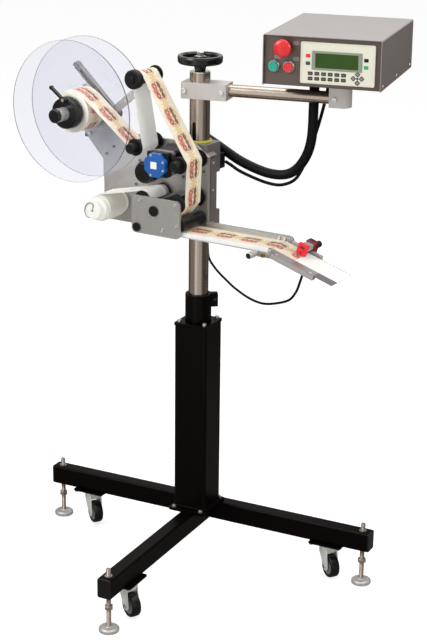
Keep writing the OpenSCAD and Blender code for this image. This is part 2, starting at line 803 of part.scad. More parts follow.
// Bell-crank with the dancer roller's shaft
module dancer_arm() color([0.6, 0.6, 0.6]) on_head() {
  tail = tail_at - dancer_pivot;
  profile(47, 53) {
    bar(dancer_pivot, dancer_at, 19);
    translate(dancer_at) circle(d = 22);
    translate(dancer_pivot) circle(d = 34);
  }
  // one shaft through the plate carries the slotted tail behind it
  rod(dancer_pivot, 10, 57, 12);
  rod(dancer_pivot, 52, 57, 20);
  profile(10, 24) difference() {
    union() {
      bar(dancer_pivot, tail_at, 16);
      translate(tail_at) circle(d = 18);
      translate(dancer_pivot) circle(d = 28);
    }
    bar(dancer_pivot + 0.2 * tail, dancer_pivot + 0.92 * tail, 6);
  }
  rod(dancer_at, 53, 163, shaft_d);
  rod(dancer_at, 160 + side_gap, 164, shaft_d + 6);
}

module dancer_roller() color([0.75, 0.75, 0.75]) on_head() {
  difference() {
    union() {
      rod(dancer_at, 56, 160, 2 * idler_r);
      rod(dancer_at, 56, 60, 2 * flange_r);
      rod(dancer_at, 141, 160, 2 * flange_r + 4);
    }
    rod(dancer_at, 55, 161, shaft_d + 2 * run_gap);
  }
}

module roller(at, r, flange) {
  difference() {
    union() {
      rod(at, roller_n0, roller_n1, 2 * r);
      if (flange > 0) {
        rod(at, roller_n0, roller_n0 + 4, 2 * flange);
        rod(at, roller_n1 - 4, roller_n1, 2 * flange);
      }
    }
    rod(at, roller_n0 - 1, roller_n1 + 1, shaft_d + 2 * run_gap);
  }
}

module lower_idler() color([0.75, 0.75, 0.75]) on_head() roller(low_at, idler_r, flange_r);

module upper_idler() color([0.75, 0.75, 0.75]) on_head() roller(up_at, idler_r, flange_r);

module mid_idler() color([0.75, 0.75, 0.75]) on_head() roller(mid_at, idler_r, flange_r);

module guide_roller() color([0.2, 0.2, 0.2]) on_head() roller(guide_at, guide_r, 0);

module nip_roller() color([0.12, 0.12, 0.12]) on_head() roller(nip_at, nip_r, nip_r + 2);

// Rubber-covered roller on its live shaft
module drive_roller() color([0.15, 0.15, 0.15]) on_head() {
  rod(drive_at, 64, 140, 2 * drive_r);
  rod(drive_at, plate_n0 - 6, small_n1 + 2, 14);
  rod(drive_at, small_n1 + side_gap, small_n1 + 4, 26);
  rod(drive_at, plate_n0 - 6, plate_n0 - side_gap, 24);
}

module unwind_hub() color([0.7, 0.7, 0.7]) on_head() {
  rod(hub, plate_n0 - 8, plate_n0 - side_gap, 36);
  rod(hub, plate_n0 - 8, 66, hub_shaft_d);
  rod(hub, 57, back_disc_n, 36);
  rod(hub, back_disc_n + disc_t, 137, 2 * core_r - 0.2);
  rod(hub, 137, 198, stub_d);
  rod(hub, 198, 208, stub_d + 1);
}

module disc(n, bore) {
  difference() {
    rod(hub, n, n + disc_t, 2 * disc_r);
    rod(hub, n - 1, n + disc_t + 1, bore);
  }
}

module rear_disc() color([0.85, 0.88, 0.88, 0.4]) on_head() disc(back_disc_n, hub_shaft_d);

module front_disc() color([0.85, 0.88, 0.88, 0.4]) on_head() disc(front_disc_n, stub_d + 2 * run_gap);

module label_roll() color([0.9, 0.87, 0.78]) on_head() difference() {
  rod(hub, web_n0, web_n1, 2 * roll_r);
  rod(hub, web_n0 - 1, web_n1 + 1, 2 * core_r);
}

// Collar that pinches the front disc, with the lever's ear and pin
module lock_collar() color([0.08, 0.08, 0.08]) on_head() {
  n = front_disc_n + disc_t;
  difference() {
    rod(hub, n, collar_n1, 78);
    rod(hub, n - 1, collar_n1 + 1, stub_d + 2 * run_gap);
  }
  rod(hub + lever_offset, collar_n1 - 1, collar_n1 + 12, 8);
}

module clamp_lever() color([0.08, 0.08, 0.08]) on_head() {
  at = hub + lever_offset;
  tip = at + 44 * [cos(143), sin(143)];
  difference() {
    union() {
      rod(at, collar_n1 + side_gap, collar_n1 + 11, 17);
      profile(collar_n1 + 1.5, collar_n1 + 10) {
        bar(at, tip, 9);
        translate(tip) circle(d = 13);
      }
    }
    rod(at, collar_n1 - 1, collar_n1 + 13, 8 + 2 * run_gap);
  }
}

module rewind_mandrel() color([0.88, 0.88, 0.86]) on_head() {
  rod(mandrel_at, 52, 150, 2 * mandrel_r);
  rod(mandrel_at, 150, 168, 46);
  rod(mandrel_at, plate_n0 - 8, 52, 12);
  rod(mandrel_at, plate_n0 - 8, plate_n0 - side_gap, 24);
  rod(mandrel_at, web_n0, web_n1, 2 * wound_r);
}

// Peel plate with hinge knuckles, sensor lip and sensor bar
module nose_plate() color([0.6, 0.6, 0.6]) on_nose() {
  difference() {
    union() {
      slab(5.5, nose_length - 1.25, 64, 160, 2, 4.5);
      rod([nose_length - 1.25, 3.25], 64, 160, 2.5);
      rod([0, 0], 64, 75.7, 9);
      rod([0, 0], 128.3, 142, 9);
      slab(0, 8, 64, 75.7, 2, 4.5);
      slab(0, 8, 128.3, 142, 2, 4.5);
      slab(12, lip_end, lip_n, 64, 2, 13);
      slab(12, 130, 146, 160, -9.5, 2);
    }
    rod([0, 0], 63, 143, hinge_d + 2 * run_gap);
  }
}

// Sensor with its bracket over the nose's lip and its thumb knob
module label_sensor() color([0.75, 0.12, 0.14]) on_nose() {
  difference() {
    union() {
      slab(46, 72, 44, 66.5, 2, 32);
      slab(49, 69, 66, 96, 14, 30);
      slab(45, 73, 95, 107, 8, 40);
    }
    slab(40, 80, lip_n - side_gap, 64 + side_gap, 1, 13 + side_gap);
    slab(40, 80, 64, 68, 1, 4.5 + side_gap);
  }
  rod([62, 18], 22, 44, 16);
}

module label_web() color([0.92, 0.89, 0.8]) on_head() profile(web_n0, web_n1) polygon(strip(label_path, web_t));

module backing_liner() color([0.93, 0.92, 0.88]) on_head()
  profile(web_n0, web_n1) polygon(strip(liner_path, web_t));

module sensor_cable() color([0.06, 0.06, 0.06]) on_head()
  cord([for (p = spline(lead_route, 2)) [p[0], -p[1], p[2]]], lead_d, 8);

module tension_knob() color([0.08, 0.08, 0.08]) on_head() {
  rod(knob_at, 52, 88, 56);
  rod(knob_at, plate_n1 + side_gap, 52, 26);
  rod(knob_at, plate_n0 - 6, 52, 8);
}

module thumb_knob() color([0.3, 0.3, 0.3]) on_head() {
  rod(thumb_at, 142 + side_gap, 180, 16);
  rod(thumb_at, 138.5, 143, 6);
}

cross_beam();
front_leg();
leg_fittings();
column();
pole_sleeve();
pole();
boom_clamp();
boom_tube();
boom_head();
box_chassis();
box_cover();
control_board();
display_panel();
panel_fittings();
estop_button();
start_button();
stop_button();
supply_hose();
signal_cable();
handwheel();
lead_screw();
castor_fork_left();
castor_fork_right();
castor_fork_front();
castor_wheel_left();
castor_wheel_right();
castor_wheel_front();
foot_left();
foot_right();
foot_front();
head_plate();
head_carriage();
cable_glands();
front_plate();
roller_shafts();
feed_motor();
motor_cap();
label_table();
dancer_arm();
dancer_roller();
lower_idler();
upper_idler();
mid_idler();
guide_roller();
nip_roller();
drive_roller();
unwind_hub();
rear_disc();
label_roll();
front_disc();
lock_collar();
clamp_lever();
rewind_mandrel();
nose_plate();
label_sensor();
label_web();
backing_liner();
sensor_cable();
tension_knob();
thumb_knob();
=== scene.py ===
import json
import math

import bmesh
import bpy
import numpy as np
from mathutils import Matrix
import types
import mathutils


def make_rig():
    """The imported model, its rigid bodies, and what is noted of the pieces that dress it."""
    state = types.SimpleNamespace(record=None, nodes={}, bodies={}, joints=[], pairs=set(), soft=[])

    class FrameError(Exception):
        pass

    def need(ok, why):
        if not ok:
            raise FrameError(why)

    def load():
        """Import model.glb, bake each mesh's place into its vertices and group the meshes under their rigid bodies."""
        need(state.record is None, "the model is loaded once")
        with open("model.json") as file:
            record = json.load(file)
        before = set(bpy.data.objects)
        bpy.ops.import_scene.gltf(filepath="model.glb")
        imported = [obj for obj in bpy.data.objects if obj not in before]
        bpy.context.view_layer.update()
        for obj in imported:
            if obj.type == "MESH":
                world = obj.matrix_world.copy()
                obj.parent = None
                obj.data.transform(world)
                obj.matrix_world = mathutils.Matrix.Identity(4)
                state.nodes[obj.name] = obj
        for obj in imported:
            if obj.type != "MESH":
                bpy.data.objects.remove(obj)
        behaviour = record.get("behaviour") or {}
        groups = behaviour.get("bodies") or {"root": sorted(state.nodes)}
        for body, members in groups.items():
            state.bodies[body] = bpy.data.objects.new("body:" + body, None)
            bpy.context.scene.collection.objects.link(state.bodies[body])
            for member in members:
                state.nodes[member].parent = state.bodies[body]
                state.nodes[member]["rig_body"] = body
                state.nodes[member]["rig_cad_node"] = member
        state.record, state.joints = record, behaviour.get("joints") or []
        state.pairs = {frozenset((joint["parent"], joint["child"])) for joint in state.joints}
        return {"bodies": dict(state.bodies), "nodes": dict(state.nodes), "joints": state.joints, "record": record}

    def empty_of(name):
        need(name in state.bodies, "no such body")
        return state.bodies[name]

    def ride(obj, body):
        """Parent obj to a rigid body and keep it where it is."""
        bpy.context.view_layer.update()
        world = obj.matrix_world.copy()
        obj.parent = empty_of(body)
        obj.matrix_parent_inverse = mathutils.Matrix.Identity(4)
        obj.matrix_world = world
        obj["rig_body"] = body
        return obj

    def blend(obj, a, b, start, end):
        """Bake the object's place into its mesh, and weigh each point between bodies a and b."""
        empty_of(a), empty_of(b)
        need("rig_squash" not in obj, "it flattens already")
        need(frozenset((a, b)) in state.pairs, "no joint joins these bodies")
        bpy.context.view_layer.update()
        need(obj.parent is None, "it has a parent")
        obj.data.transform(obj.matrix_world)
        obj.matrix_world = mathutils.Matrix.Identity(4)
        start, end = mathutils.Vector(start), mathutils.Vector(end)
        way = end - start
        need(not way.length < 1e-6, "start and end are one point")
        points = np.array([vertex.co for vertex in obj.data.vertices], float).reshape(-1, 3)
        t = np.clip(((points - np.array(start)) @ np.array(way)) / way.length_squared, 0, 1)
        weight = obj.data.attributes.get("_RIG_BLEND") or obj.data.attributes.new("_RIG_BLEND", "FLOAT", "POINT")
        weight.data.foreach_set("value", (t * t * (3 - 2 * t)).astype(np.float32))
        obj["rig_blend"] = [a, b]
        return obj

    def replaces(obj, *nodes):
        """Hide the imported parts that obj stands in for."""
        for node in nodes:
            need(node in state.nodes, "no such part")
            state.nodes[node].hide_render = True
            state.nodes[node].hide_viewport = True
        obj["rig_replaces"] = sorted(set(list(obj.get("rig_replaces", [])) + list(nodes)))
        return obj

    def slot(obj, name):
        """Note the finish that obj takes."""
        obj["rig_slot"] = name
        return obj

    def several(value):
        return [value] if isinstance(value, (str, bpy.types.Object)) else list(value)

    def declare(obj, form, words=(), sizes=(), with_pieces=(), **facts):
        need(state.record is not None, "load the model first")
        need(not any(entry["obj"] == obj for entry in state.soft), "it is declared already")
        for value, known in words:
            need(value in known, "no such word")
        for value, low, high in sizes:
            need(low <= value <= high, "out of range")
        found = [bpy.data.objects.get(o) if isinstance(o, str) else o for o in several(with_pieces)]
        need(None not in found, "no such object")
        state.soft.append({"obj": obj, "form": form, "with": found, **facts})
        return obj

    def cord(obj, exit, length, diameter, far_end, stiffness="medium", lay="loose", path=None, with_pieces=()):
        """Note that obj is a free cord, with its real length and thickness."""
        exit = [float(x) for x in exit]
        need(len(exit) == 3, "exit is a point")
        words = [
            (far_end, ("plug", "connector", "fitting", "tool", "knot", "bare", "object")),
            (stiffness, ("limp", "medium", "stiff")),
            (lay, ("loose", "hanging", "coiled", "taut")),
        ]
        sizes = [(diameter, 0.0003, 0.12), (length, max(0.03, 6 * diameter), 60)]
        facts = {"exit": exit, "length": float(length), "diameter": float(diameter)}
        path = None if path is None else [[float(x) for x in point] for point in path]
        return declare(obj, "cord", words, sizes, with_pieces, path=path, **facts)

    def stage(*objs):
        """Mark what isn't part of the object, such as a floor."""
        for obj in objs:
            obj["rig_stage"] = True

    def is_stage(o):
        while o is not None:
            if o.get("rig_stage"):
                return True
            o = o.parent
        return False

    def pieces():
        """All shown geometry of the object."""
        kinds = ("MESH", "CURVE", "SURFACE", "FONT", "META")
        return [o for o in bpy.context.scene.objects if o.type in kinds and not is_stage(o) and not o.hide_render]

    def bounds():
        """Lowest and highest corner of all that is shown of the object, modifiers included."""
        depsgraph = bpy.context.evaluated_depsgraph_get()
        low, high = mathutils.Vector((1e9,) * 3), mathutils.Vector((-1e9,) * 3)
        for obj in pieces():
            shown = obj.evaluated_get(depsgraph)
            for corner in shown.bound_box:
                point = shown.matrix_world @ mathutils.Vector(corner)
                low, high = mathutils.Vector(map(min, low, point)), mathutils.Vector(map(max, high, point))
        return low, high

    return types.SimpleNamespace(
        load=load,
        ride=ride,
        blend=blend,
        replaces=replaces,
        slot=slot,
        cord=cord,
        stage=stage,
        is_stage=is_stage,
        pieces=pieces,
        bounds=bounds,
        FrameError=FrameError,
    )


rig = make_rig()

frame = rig.load()
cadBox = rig.bounds()
print("frame loaded with", len(frame["nodes"]), "nodes")

# working frames of the machine, millimetres and degrees
place = {"midX": 14.977914, "midY": -119.806718, "headZ": 893.0, "headSwing": -5.0,
         "boomSwing": 9.0, "hinge": (285.0, 24.1), "noseTilt": 17.4}
corners = ((-1, -1), (1, -1), (-1, 1), (1, 1))
fullTurn = 2 * np.pi


def turnBy(a, b, degrees):  # plane rotation of two coordinate arrays
    c, s = math.cos(math.radians(degrees)), math.sin(math.radians(degrees))
    return a * c - b * s, a * s + b * c


def onStand(p):  # pole axis at x = y = 0, into the shared frame in metres
    return (np.asarray(p, float) - [place["midX"], place["midY"], 0.0]) / 1000.0


def onHead(p):  # u to the right, n to the front, z up from the plate's lower edge
    p = np.asarray(p, float)
    x, y = turnBy(p[..., 0], -p[..., 1], place["headSwing"])
    return onStand(np.stack([x, y, p[..., 2] + place["headZ"]], -1))


def onBoom(p):  # s along the boom, t across it, z from the floor
    p = np.asarray(p, float)
    x, y = turnBy(p[..., 0], p[..., 1], place["boomSwing"])
    return onStand(np.stack([x, y, p[..., 2]], -1))


def onNose(p):  # x down the slope, n to the front, z square to the slope
    p = np.asarray(p, float)
    u, w = turnBy(p[..., 0], p[..., 2], -place["noseTilt"])
    return onHead(np.stack([u + place["hinge"][0], p[..., 1], w + place["hinge"][1]], -1))


def atZ(x, y):  # a turned shape standing at x, y
    return lambda p: onStand(p + [x, y, 0.0])


def atN(u=0.0, z=0.0):  # a turned or flat shape whose axis runs to the front of the head
    return lambda p: onHead(p[:, [0, 2, 1]] + [u, 0.0, z])


def atNoseN(x=0.0, z=0.0):  # the same on the tilting nose
    return lambda p: onNose(p[:, [0, 2, 1]] + [x, 0.0, z])


def stoodAt(right, above, ahead, spot):  # pose of a camera or lamp that looks along ahead
    m = np.eye(4)
    m[:3, 0], m[:3, 1], m[:3, 2], m[:3, 3] = right, above, -ahead, spot
    return Matrix(m.tolist())


def photoView():  # the photograph's camera
    c = {"spot": (1.844473, -3.518680, 2.027387), "yaw": -0.463, "pitch": 0.324, "roll": 0.011, "lens": 96.169}
    ahead = np.array([math.sin(c["yaw"]) * math.cos(c["pitch"]), math.cos(c["yaw"]) * math.cos(c["pitch"]),
                      -math.sin(c["pitch"])])
    side = np.array([math.cos(c["yaw"]), -math.sin(c["yaw"]), 0.0])
    top = np.cross(side, ahead)
    right = side * math.cos(c["roll"]) + top * math.sin(c["roll"])
    above = top * math.cos(c["roll"]) - side * math.sin(c["roll"])
    data = bpy.data.cameras.new("photoView")
    data.lens, data.sensor_width, data.clip_end = c["lens"], 36.0, 200.0
    camera = bpy.data.objects.new("photoView", data)
    bpy.context.scene.collection.objects.link(camera)
    camera.matrix_world = stoodAt(right, above, ahead, c["spot"])
    bpy.context.scene.camera = camera


photoView()
print("camera placed")


def skin(rings, caps=True, loop=False, around=None, along=None, swap=False):
    # quads between neighbouring closed rings, flat ends, and uv = (round the ring, along the rings)
    rings = np.asarray(rings, float)
    m, k = rings.shape[:2]
    ids = np.arange(m * k).reshape(m, k)
    a = ids if loop else ids[:-1]
    b = np.roll(ids, -1, 0) if loop else ids[1:]
    quads = np.stack([a, np.roll(a, -1, 1), np.roll(b, -1, 1), b], -1).reshape(-1, 4)
    around = np.linspace(0, 1, k + 1) if around is None else np.asarray(around, float)
    along = np.linspace(0, 1, len(a) + 1) if along is None else np.asarray(along, float)
    j0, i0 = np.meshgrid(around[:-1], along[:-1])
    j1, i1 = np.meshgrid(around[1:], along[1:])
    uv = np.stack([np.stack(c, -1) for c in ((j0, i0), (j1, i0), (j1, i1), (j0, i1))], 2).reshape(-1, 2)
    faces = quads.tolist()
    if caps and not loop:
        faces += [ids[0][::-1].tolist(), ids[-1].tolist()]
        uv = np.concatenate([uv, np.zeros((2 * k, 2))])
    return rings.reshape(-1, 3), faces, uv[:, ::-1] if swap else uv


def soften(points, radius, steps=4, closed=False):
    # corners of a polyline replaced by arcs: weighted Bezier pieces that are true circles
    pts = np.asarray(points, float)
    n = len(pts)
    radii = np.broadcast_to(np.asarray(radius, float), n)
    t = np.linspace(0, 1, steps + 1)[:, None]
    out = []
    for i in range(n):
        if radii[i] <= 0 or (not closed and i in (0, n - 1)):
            out.append(pts[i:i + 1])
            continue
        a, b, c = pts[i - 1], pts[i], pts[(i + 1) % n]
        la, lc = np.linalg.norm(a - b), np.linalg.norm(c - b)
        half = 0.5 * math.acos(np.clip((a - b) @ (c - b) / (la * lc), -1, 1))
        d = min(radii[i] / math.tan(half), 0.49 * la, 0.49 * lc)
        p, q = b + (a - b) / la * d, b + (c - b) / lc * d
        first, mid, last = (1 - t) ** 2, 2 * math.sin(half) * t * (1 - t), t ** 2
        out.append((first * p + mid * b + last * q) / (first + mid + last))
    return np.concatenate(out)


def ringAt(r, th):  # points of a circle at the given angles
    return np.stack([r * np.cos(th), r * np.sin(th)], -1)


def roundRect(x0, y0, x1, y1, r, steps=5):
    return soften([(x0, y0), (x1, y0), (x1, y1), (x0, y1)], r, steps, True)


def polygonOf(sides, across):  # regular polygon by its width across flats
    return ringAt(across / 2 / math.cos(math.pi / sides), np.linspace(0, fullTurn, sides, endpoint=False))


def atLevel(flat, z):  # flat points lifted to height z
    return np.column_stack([flat, np.full(len(flat), z)])


def runLength(p):  # distance along a polyline
    return np.concatenate([[0.0], np.cumsum(np.linalg.norm(np.diff(p, axis=0), axis=1))])


def prism(outline, h0, h1, edge=0.6, steps=2):
    # a flat outline carried from h0 to h1, pulled in on a quarter circle at both edges
    o = np.asarray(outline, float)
    nxt = np.roll(o, -1, 0)
    if np.sum(o[:, 0] * nxt[:, 1] - nxt[:, 0] * o[:, 1]) < 0:
        o = o[::-1]
    e = np.roll(o, -1, 0) - o
    e /= np.linalg.norm(e, axis=1, keepdims=True)
    inward = np.stack([-e[:, 1], e[:, 0]], -1)
    before = np.roll(inward, 1, 0)
    miter = (inward + before) / np.maximum(1 + np.sum(inward * before, 1, keepdims=True), 0.3)
    phi = np.linspace(0, np.pi / 2, steps + 1)
    pull, rise = edge * (1 - np.sin(phi)), edge * (1 - np.cos(phi))
    pulls = np.concatenate([pull, pull[::-1]])
    levels = np.concatenate([h0 + rise, h1 - rise[::-1]])
    flat = o[None] + pulls[:, None, None] * miter[None]
    rings = np.concatenate([flat, np.broadcast_to(levels[:, None, None], flat.shape[:2] + (1,))], -1)
    return skin(rings, around=runLength(np.vstack([o, o[:1]])), along=runLength(np.stack([pulls, levels], -1)))


def brick(x0, x1, y0, y1, z0, z1, edge=0.8):  # box with every edge rounded
    return prism(roundRect(x0, y0, x1, y1, edge, 2), z0, z1, edge)


def lathe(profile, steps=48, loop=False, ripple=None, swap=False, reach=1.0):
    # radius-height profile turned about the axis; ripple = (count, depth, mask) waves the radius
    prof = np.asarray(profile, float)
    th = np.linspace(0, fullTurn, steps, endpoint=False)
    r = np.repeat(prof[:, :1], steps, 1)
    if ripple:
        r = r + ripple[1] * np.asarray(ripple[2], float)[:, None] * np.cos(ripple[0] * th)
    rings = np.stack([r * np.cos(th), r * np.sin(th), np.repeat(prof[:, 1:], steps, 1)], -1)
    run = runLength(np.vstack([prof, prof[:1]]) if loop else prof)
    return skin(rings, not loop, loop, np.linspace(0, fullTurn * reach, steps + 1), run, swap)


def turned(profile, radii, soft, steps, bored=False):  # lathe of a profile with softened corners
    return lathe(soften(profile, radii, soft, bored), steps, bored)


def knurled(profile, radii, soft, steps, count, depth, fromR, bored=False):  # the same, waved beyond a radius
    prof = soften(profile, radii, soft, bored)
    return lathe(prof, steps, bored, (count, depth, prof[:, 0] > fromR))


def drum(r, h0, h1, edge=0.8, steps=40):  # plain turned bar with rounded rims
    return turned([(r * 0.5, h0), (r, h0), (r, h1), (r * 0.5, h1)], edge, 3, steps)


def collar(rIn, rOut, h0, h1, edge=0.6, steps=48):  # turned ring with an open bore
    return turned([(rIn, h0), (rOut, h0), (rOut, h1), (rIn, h1)], edge, 3, steps, True)


def nutShape(across, h0, h1):  # hexagon with softened rims
    return prism(polygonOf(6, across), h0, h1, 0.7, 1)


def capScrew(r, h0, h1):  # round head with a socket sunk in its face
    low = h1 - 0.6 * (h1 - h0)
    profile = [(r * 0.4, h0), (r, h0), (r, h1), (0.58 * r, h1), (0.5 * r, low), (0.08 * r, low)]
    return turned(profile, [0, 0.2, 0.5, 0.2, 0.1, 0], 2, 20)


def domeHead(r, h0, h1):  # low dome: radius falls with the cosine while the height rises with the sine
    a = np.linspace(0, np.pi / 2 * 0.97, 6)
    dome = np.stack([r * np.cos(a), h0 + (h1 - h0) * (0.25 + 0.75 * np.sin(a))], -1)
    return lathe(np.concatenate([[(r * 0.4, h0), (r, h0)], dome]), 20)


def thread(r, h0, h1, pitch, depth, steps=20):  # radius falls as a triangle wave that climbs one pitch a turn
    rows = max(4, int((h1 - h0) / pitch * 5))
    h = np.linspace(h0, h1, rows + 1)[:, None]
    th = np.linspace(0, fullTurn, steps, endpoint=False)[None]
    rr = r - depth * np.abs((h / pitch - th / fullTurn) % 1 - 0.5) * 2
    return skin(np.stack([rr * np.cos(th), rr * np.sin(th), np.broadcast_to(h, rr.shape)], -1))


def sweep(path, radius, sides=16):  # circle carried along a path, square to it
    path = np.asarray(path, float)
    ahead = np.gradient(path, axis=0)
    ahead /= np.linalg.norm(ahead, axis=1, keepdims=True)
    a = np.cross(ahead, [0.0, 1.0, 0.0])
    a /= np.linalg.norm(a, axis=1, keepdims=True)
    b = np.cross(ahead, a)
    th = np.linspace(0, fullTurn, sides, endpoint=False)[None, :, None]
    r = np.broadcast_to(np.asarray(radius, float), len(path))[:, None, None]
    rings = path[:, None] + r * (np.cos(th) * a[:, None] + np.sin(th) * b[:, None])
    return skin(rings, around=np.linspace(0, fullTurn, sides + 1), along=runLength(path))


def easedPath(points, k):  # smooth curve through every point, k steps a span
    p = np.asarray(points, float)
    q = np.vstack([p[:1], p, p[-1:]])
    a, b, c, d = (x[:, None] for x in (q[:-3], q[1:-2], q[2:-1], q[3:]))
    t = (np.arange(k) / k)[None, :, None]
    curve = 0.5 * (2 * b + (c - a) * t + (2 * a - 5 * b + 4 * c - d) * t ** 2 + (3 * b - a - 3 * c + d) * t ** 3)
    return np.vstack([curve.reshape(-1, p.shape[1]), p[-1:]])


def evenPath(points, count):  # the same curve at even spacing
    run = runLength(points)
    s = np.linspace(0, run[-1], count)
    return np.stack([np.interp(s, run, points[:, i]) for i in range(points.shape[1])], -1)


def ribbon(path, n0, n1, t, side, start):  # flat strip: a thin rectangle carried along a path in the u-z plane
    ahead = np.gradient(path, axis=0)
    ahead /= np.linalg.norm(ahead, axis=1, keepdims=True)
    out = np.stack([-ahead[:, 1], ahead[:, 0]], -1) * t / 2
    path = path + out * side
    lay = lambda p, n: np.stack([p[:, 0], np.full(len(p), n), p[:, 1]], -1)
    rings = np.stack([lay(path + s * out, n) for s, n in ((1, n0), (1, n1), (-1, n1), (-1, n0))], 1)
    half = (n1 - n0) / 2
    return skin(rings, around=[-half, half, half, -half, -half], along=start + runLength(path))


def put(shape, mapper):  # a shape's points, faces and wrap with the points moved into the shared frame
    return mapper(shape[0]), shape[1], shape[2]


def fitted(mapper):  # turns shapes of one finish into parts that stand where the mapper says
    return lambda finish, *shapes: [(put(shape, mapper), finish) for shape in shapes]


def levelNormals(mesh, sharp):
    # corner normals summed by face area over the faces within the sharp angle,
    # so that flats stay flat beside rounded edges
    vert, total = np.empty(len(mesh.loops), np.int32), np.empty(len(mesh.polygons), np.int32)
    area, normal = np.empty(len(total)), np.empty(3 * len(total))
    mesh.loops.foreach_get("vertex_index", vert)
    for key, into in (("loop_total", total), ("area", area), ("normal", normal)):
        mesh.polygons.foreach_get(key, into)
    order = np.argsort(vert, kind="stable")
    v, n = vert[order], np.repeat(normal.reshape(-1, 3), total, 0)[order]
    w = n * (np.repeat(area, total)[order][:, None] + 1e-12)
    out, k = w.copy(), 1
    while np.any(v[k:] == v[:-k]):
        near = (v[k:] == v[:-k]) & (np.sum(n[k:] * n[:-k], 1) > math.cos(math.radians(sharp)))
        out[k:][near] += w[:-k][near]
        out[:-k][near] += w[k:][near]
        k += 1
    done = np.empty_like(out)
    done[order] = out / np.linalg.norm(out, axis=1, keepdims=True)
    mesh.normals_split_custom_set(done)


def piece(name, parts, body, slotName, swap, sharp=38.0):
    # joins (shape, finish) pairs into one mesh, turns faces outwards and hands it to the frame
    shapes, used = [s for s, _ in parts], [f for _, f in parts]
    finishes = list(dict.fromkeys(used))
    base = np.cumsum([0] + [len(s[0]) for s in shapes])
    faces = [[i + off for i in f] for s, off in zip(shapes, base) for f in s[1]]
    mesh = bpy.data.meshes.new(name)
    mesh.from_pydata(np.concatenate([s[0] for s in shapes]).tolist(), [], faces)
    wrap = np.concatenate([s[2] for s in shapes]).astype(np.float32)
    mesh.uv_layers.new(name="wrap").data.foreach_set("uv", wrap.ravel())
    slots = np.repeat([finishes.index(f) for f in used], [len(s[1]) for s in shapes])
    mesh.polygons.foreach_set("material_index", slots.astype(np.int32))
    for f in finishes:
        mesh.materials.append(f)
    bm = bmesh.new()
    bm.from_mesh(mesh)
    bmesh.ops.recalc_face_normals(bm, faces=bm.faces)
    bm.to_mesh(mesh)
    bm.free()
    mesh.shade_smooth()
    mesh.set_sharp_from_angle(angle=math.radians(sharp))
    levelNormals(mesh, sharp)
    obj = bpy.data.objects.new(name, mesh)
    bpy.context.scene.collection.objects.link(obj)
    if body:
        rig.ride(obj, body)
    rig.slot(obj, slotName)
    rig.replaces(obj, swap)
    return obj


def ink(r, g, b):  # colour as seen on a screen, into the linear one that shaders take
    c = np.array([r, g, b], float)
    return (*np.where(c <= 0.04045, c / 12.92, ((c + 0.055) / 1.055) ** 2.4).tolist(), 1.0)


def shade(c, k):  # colour made k times as bright
    return tuple(min(1.0, x * k) for x in c[:3]) + (1.0,)


def feed(tree, target, inputs):  # links sockets to a node's inputs and sets plain values on the others
    for key, value in inputs.items():
        if isinstance(value, bpy.types.NodeSocket):
            tree.links.new(value, target.inputs[key])
        else:
            target.inputs[key].default_value = value
    return target


def node(tree, kind, inputs=None, **props):
    n = tree.nodes.new("ShaderNode" + kind)
    for key, value in props.items():
        setattr(n, key, value)
    return feed(tree, n, inputs or {})


def mixed(tree, factor, a, b):  # colour between a and b
    return node(tree, "Mix", {0: factor, 6: a, 7: b}, data_type="RGBA").outputs[2]


def spread(tree, value, lo, hi, a=0.0, b=1.0):  # value from lo..hi onto a..b
    return node(tree, "MapRange", {0: value, 1: lo, 2: hi, 3: a, 4: b}).outputs[0]


def sums(tree, op, a, b=None, c=None):  # arithmetic on one to three values
    return node(tree, "Math", {i: v for i, v in enumerate((a, b, c)) if v is not None}, operation=op).outputs[0]


def noise(tree, spot, scale, detail, **more):
    return node(tree, "TexNoise", {"Vector": spot, "Scale": scale, "Detail": detail, **more}).outputs[0]


def raised(tree, height, strength, depth):
    return node(tree, "Bump", {"Strength": strength, "Distance": depth, "Height": height}).outputs[0]


def objectSpot(tree):
    return node(tree, "TexCoord").outputs["Object"]


def wrapSpot(tree):  # (across, along) of a turned or carried shape
    return node(tree, "SeparateXYZ", {0: node(tree, "UVMap", uv_map="wrap").outputs[0]}).outputs


def blankFinish(name):  # a new material, its node tree and its main shader
    mat = bpy.data.materials.new(name)
    mat.use_nodes = True
    return mat, mat.node_tree, mat.node_tree.nodes["Principled BSDF"]


midNoise = (0.3, 0.7)  # where most of a noise's values lie


def grained(name, rgb, rough, metal=0.0, grain=(1, 1, 1), scale=300.0, tint=0.08, roughSpread=0.06,
            bump=0.15, depth=0.0003, cloud=0.12, cloudScale=14.0, coat=0.0, shine=0.5):
    # fine noise, stretched by grain, moves colour, gloss and height; a slow one darkens patches
    mat, tree, bsdf = blankFinish(name)
    colour, spot = ink(*rgb), objectSpot(tree)
    stretched = node(tree, "Mapping", {"Vector": spot, "Scale": grain}).outputs[0]
    fine = noise(tree, stretched, scale, 3.0, Roughness=0.6)
    slow = noise(tree, spot, cloudScale, 2.0)
    body = mixed(tree, spread(tree, fine, *midNoise), shade(colour, 1 - tint), shade(colour, 1 + tint))
    body = mixed(tree, spread(tree, slow, 0.45, 0.75, 0.0, cloud), body, shade(colour, 0.5))
    gloss = spread(tree, fine, *midNoise, max(0.03, rough - roughSpread), rough + roughSpread)
    feed(tree, bsdf, {"Base Color": body, "Roughness": gloss, "Normal": raised(tree, fine, bump, depth),
                      "Metallic": metal, "Coat Weight": coat, "Specular IOR Level": shine})
    return mat


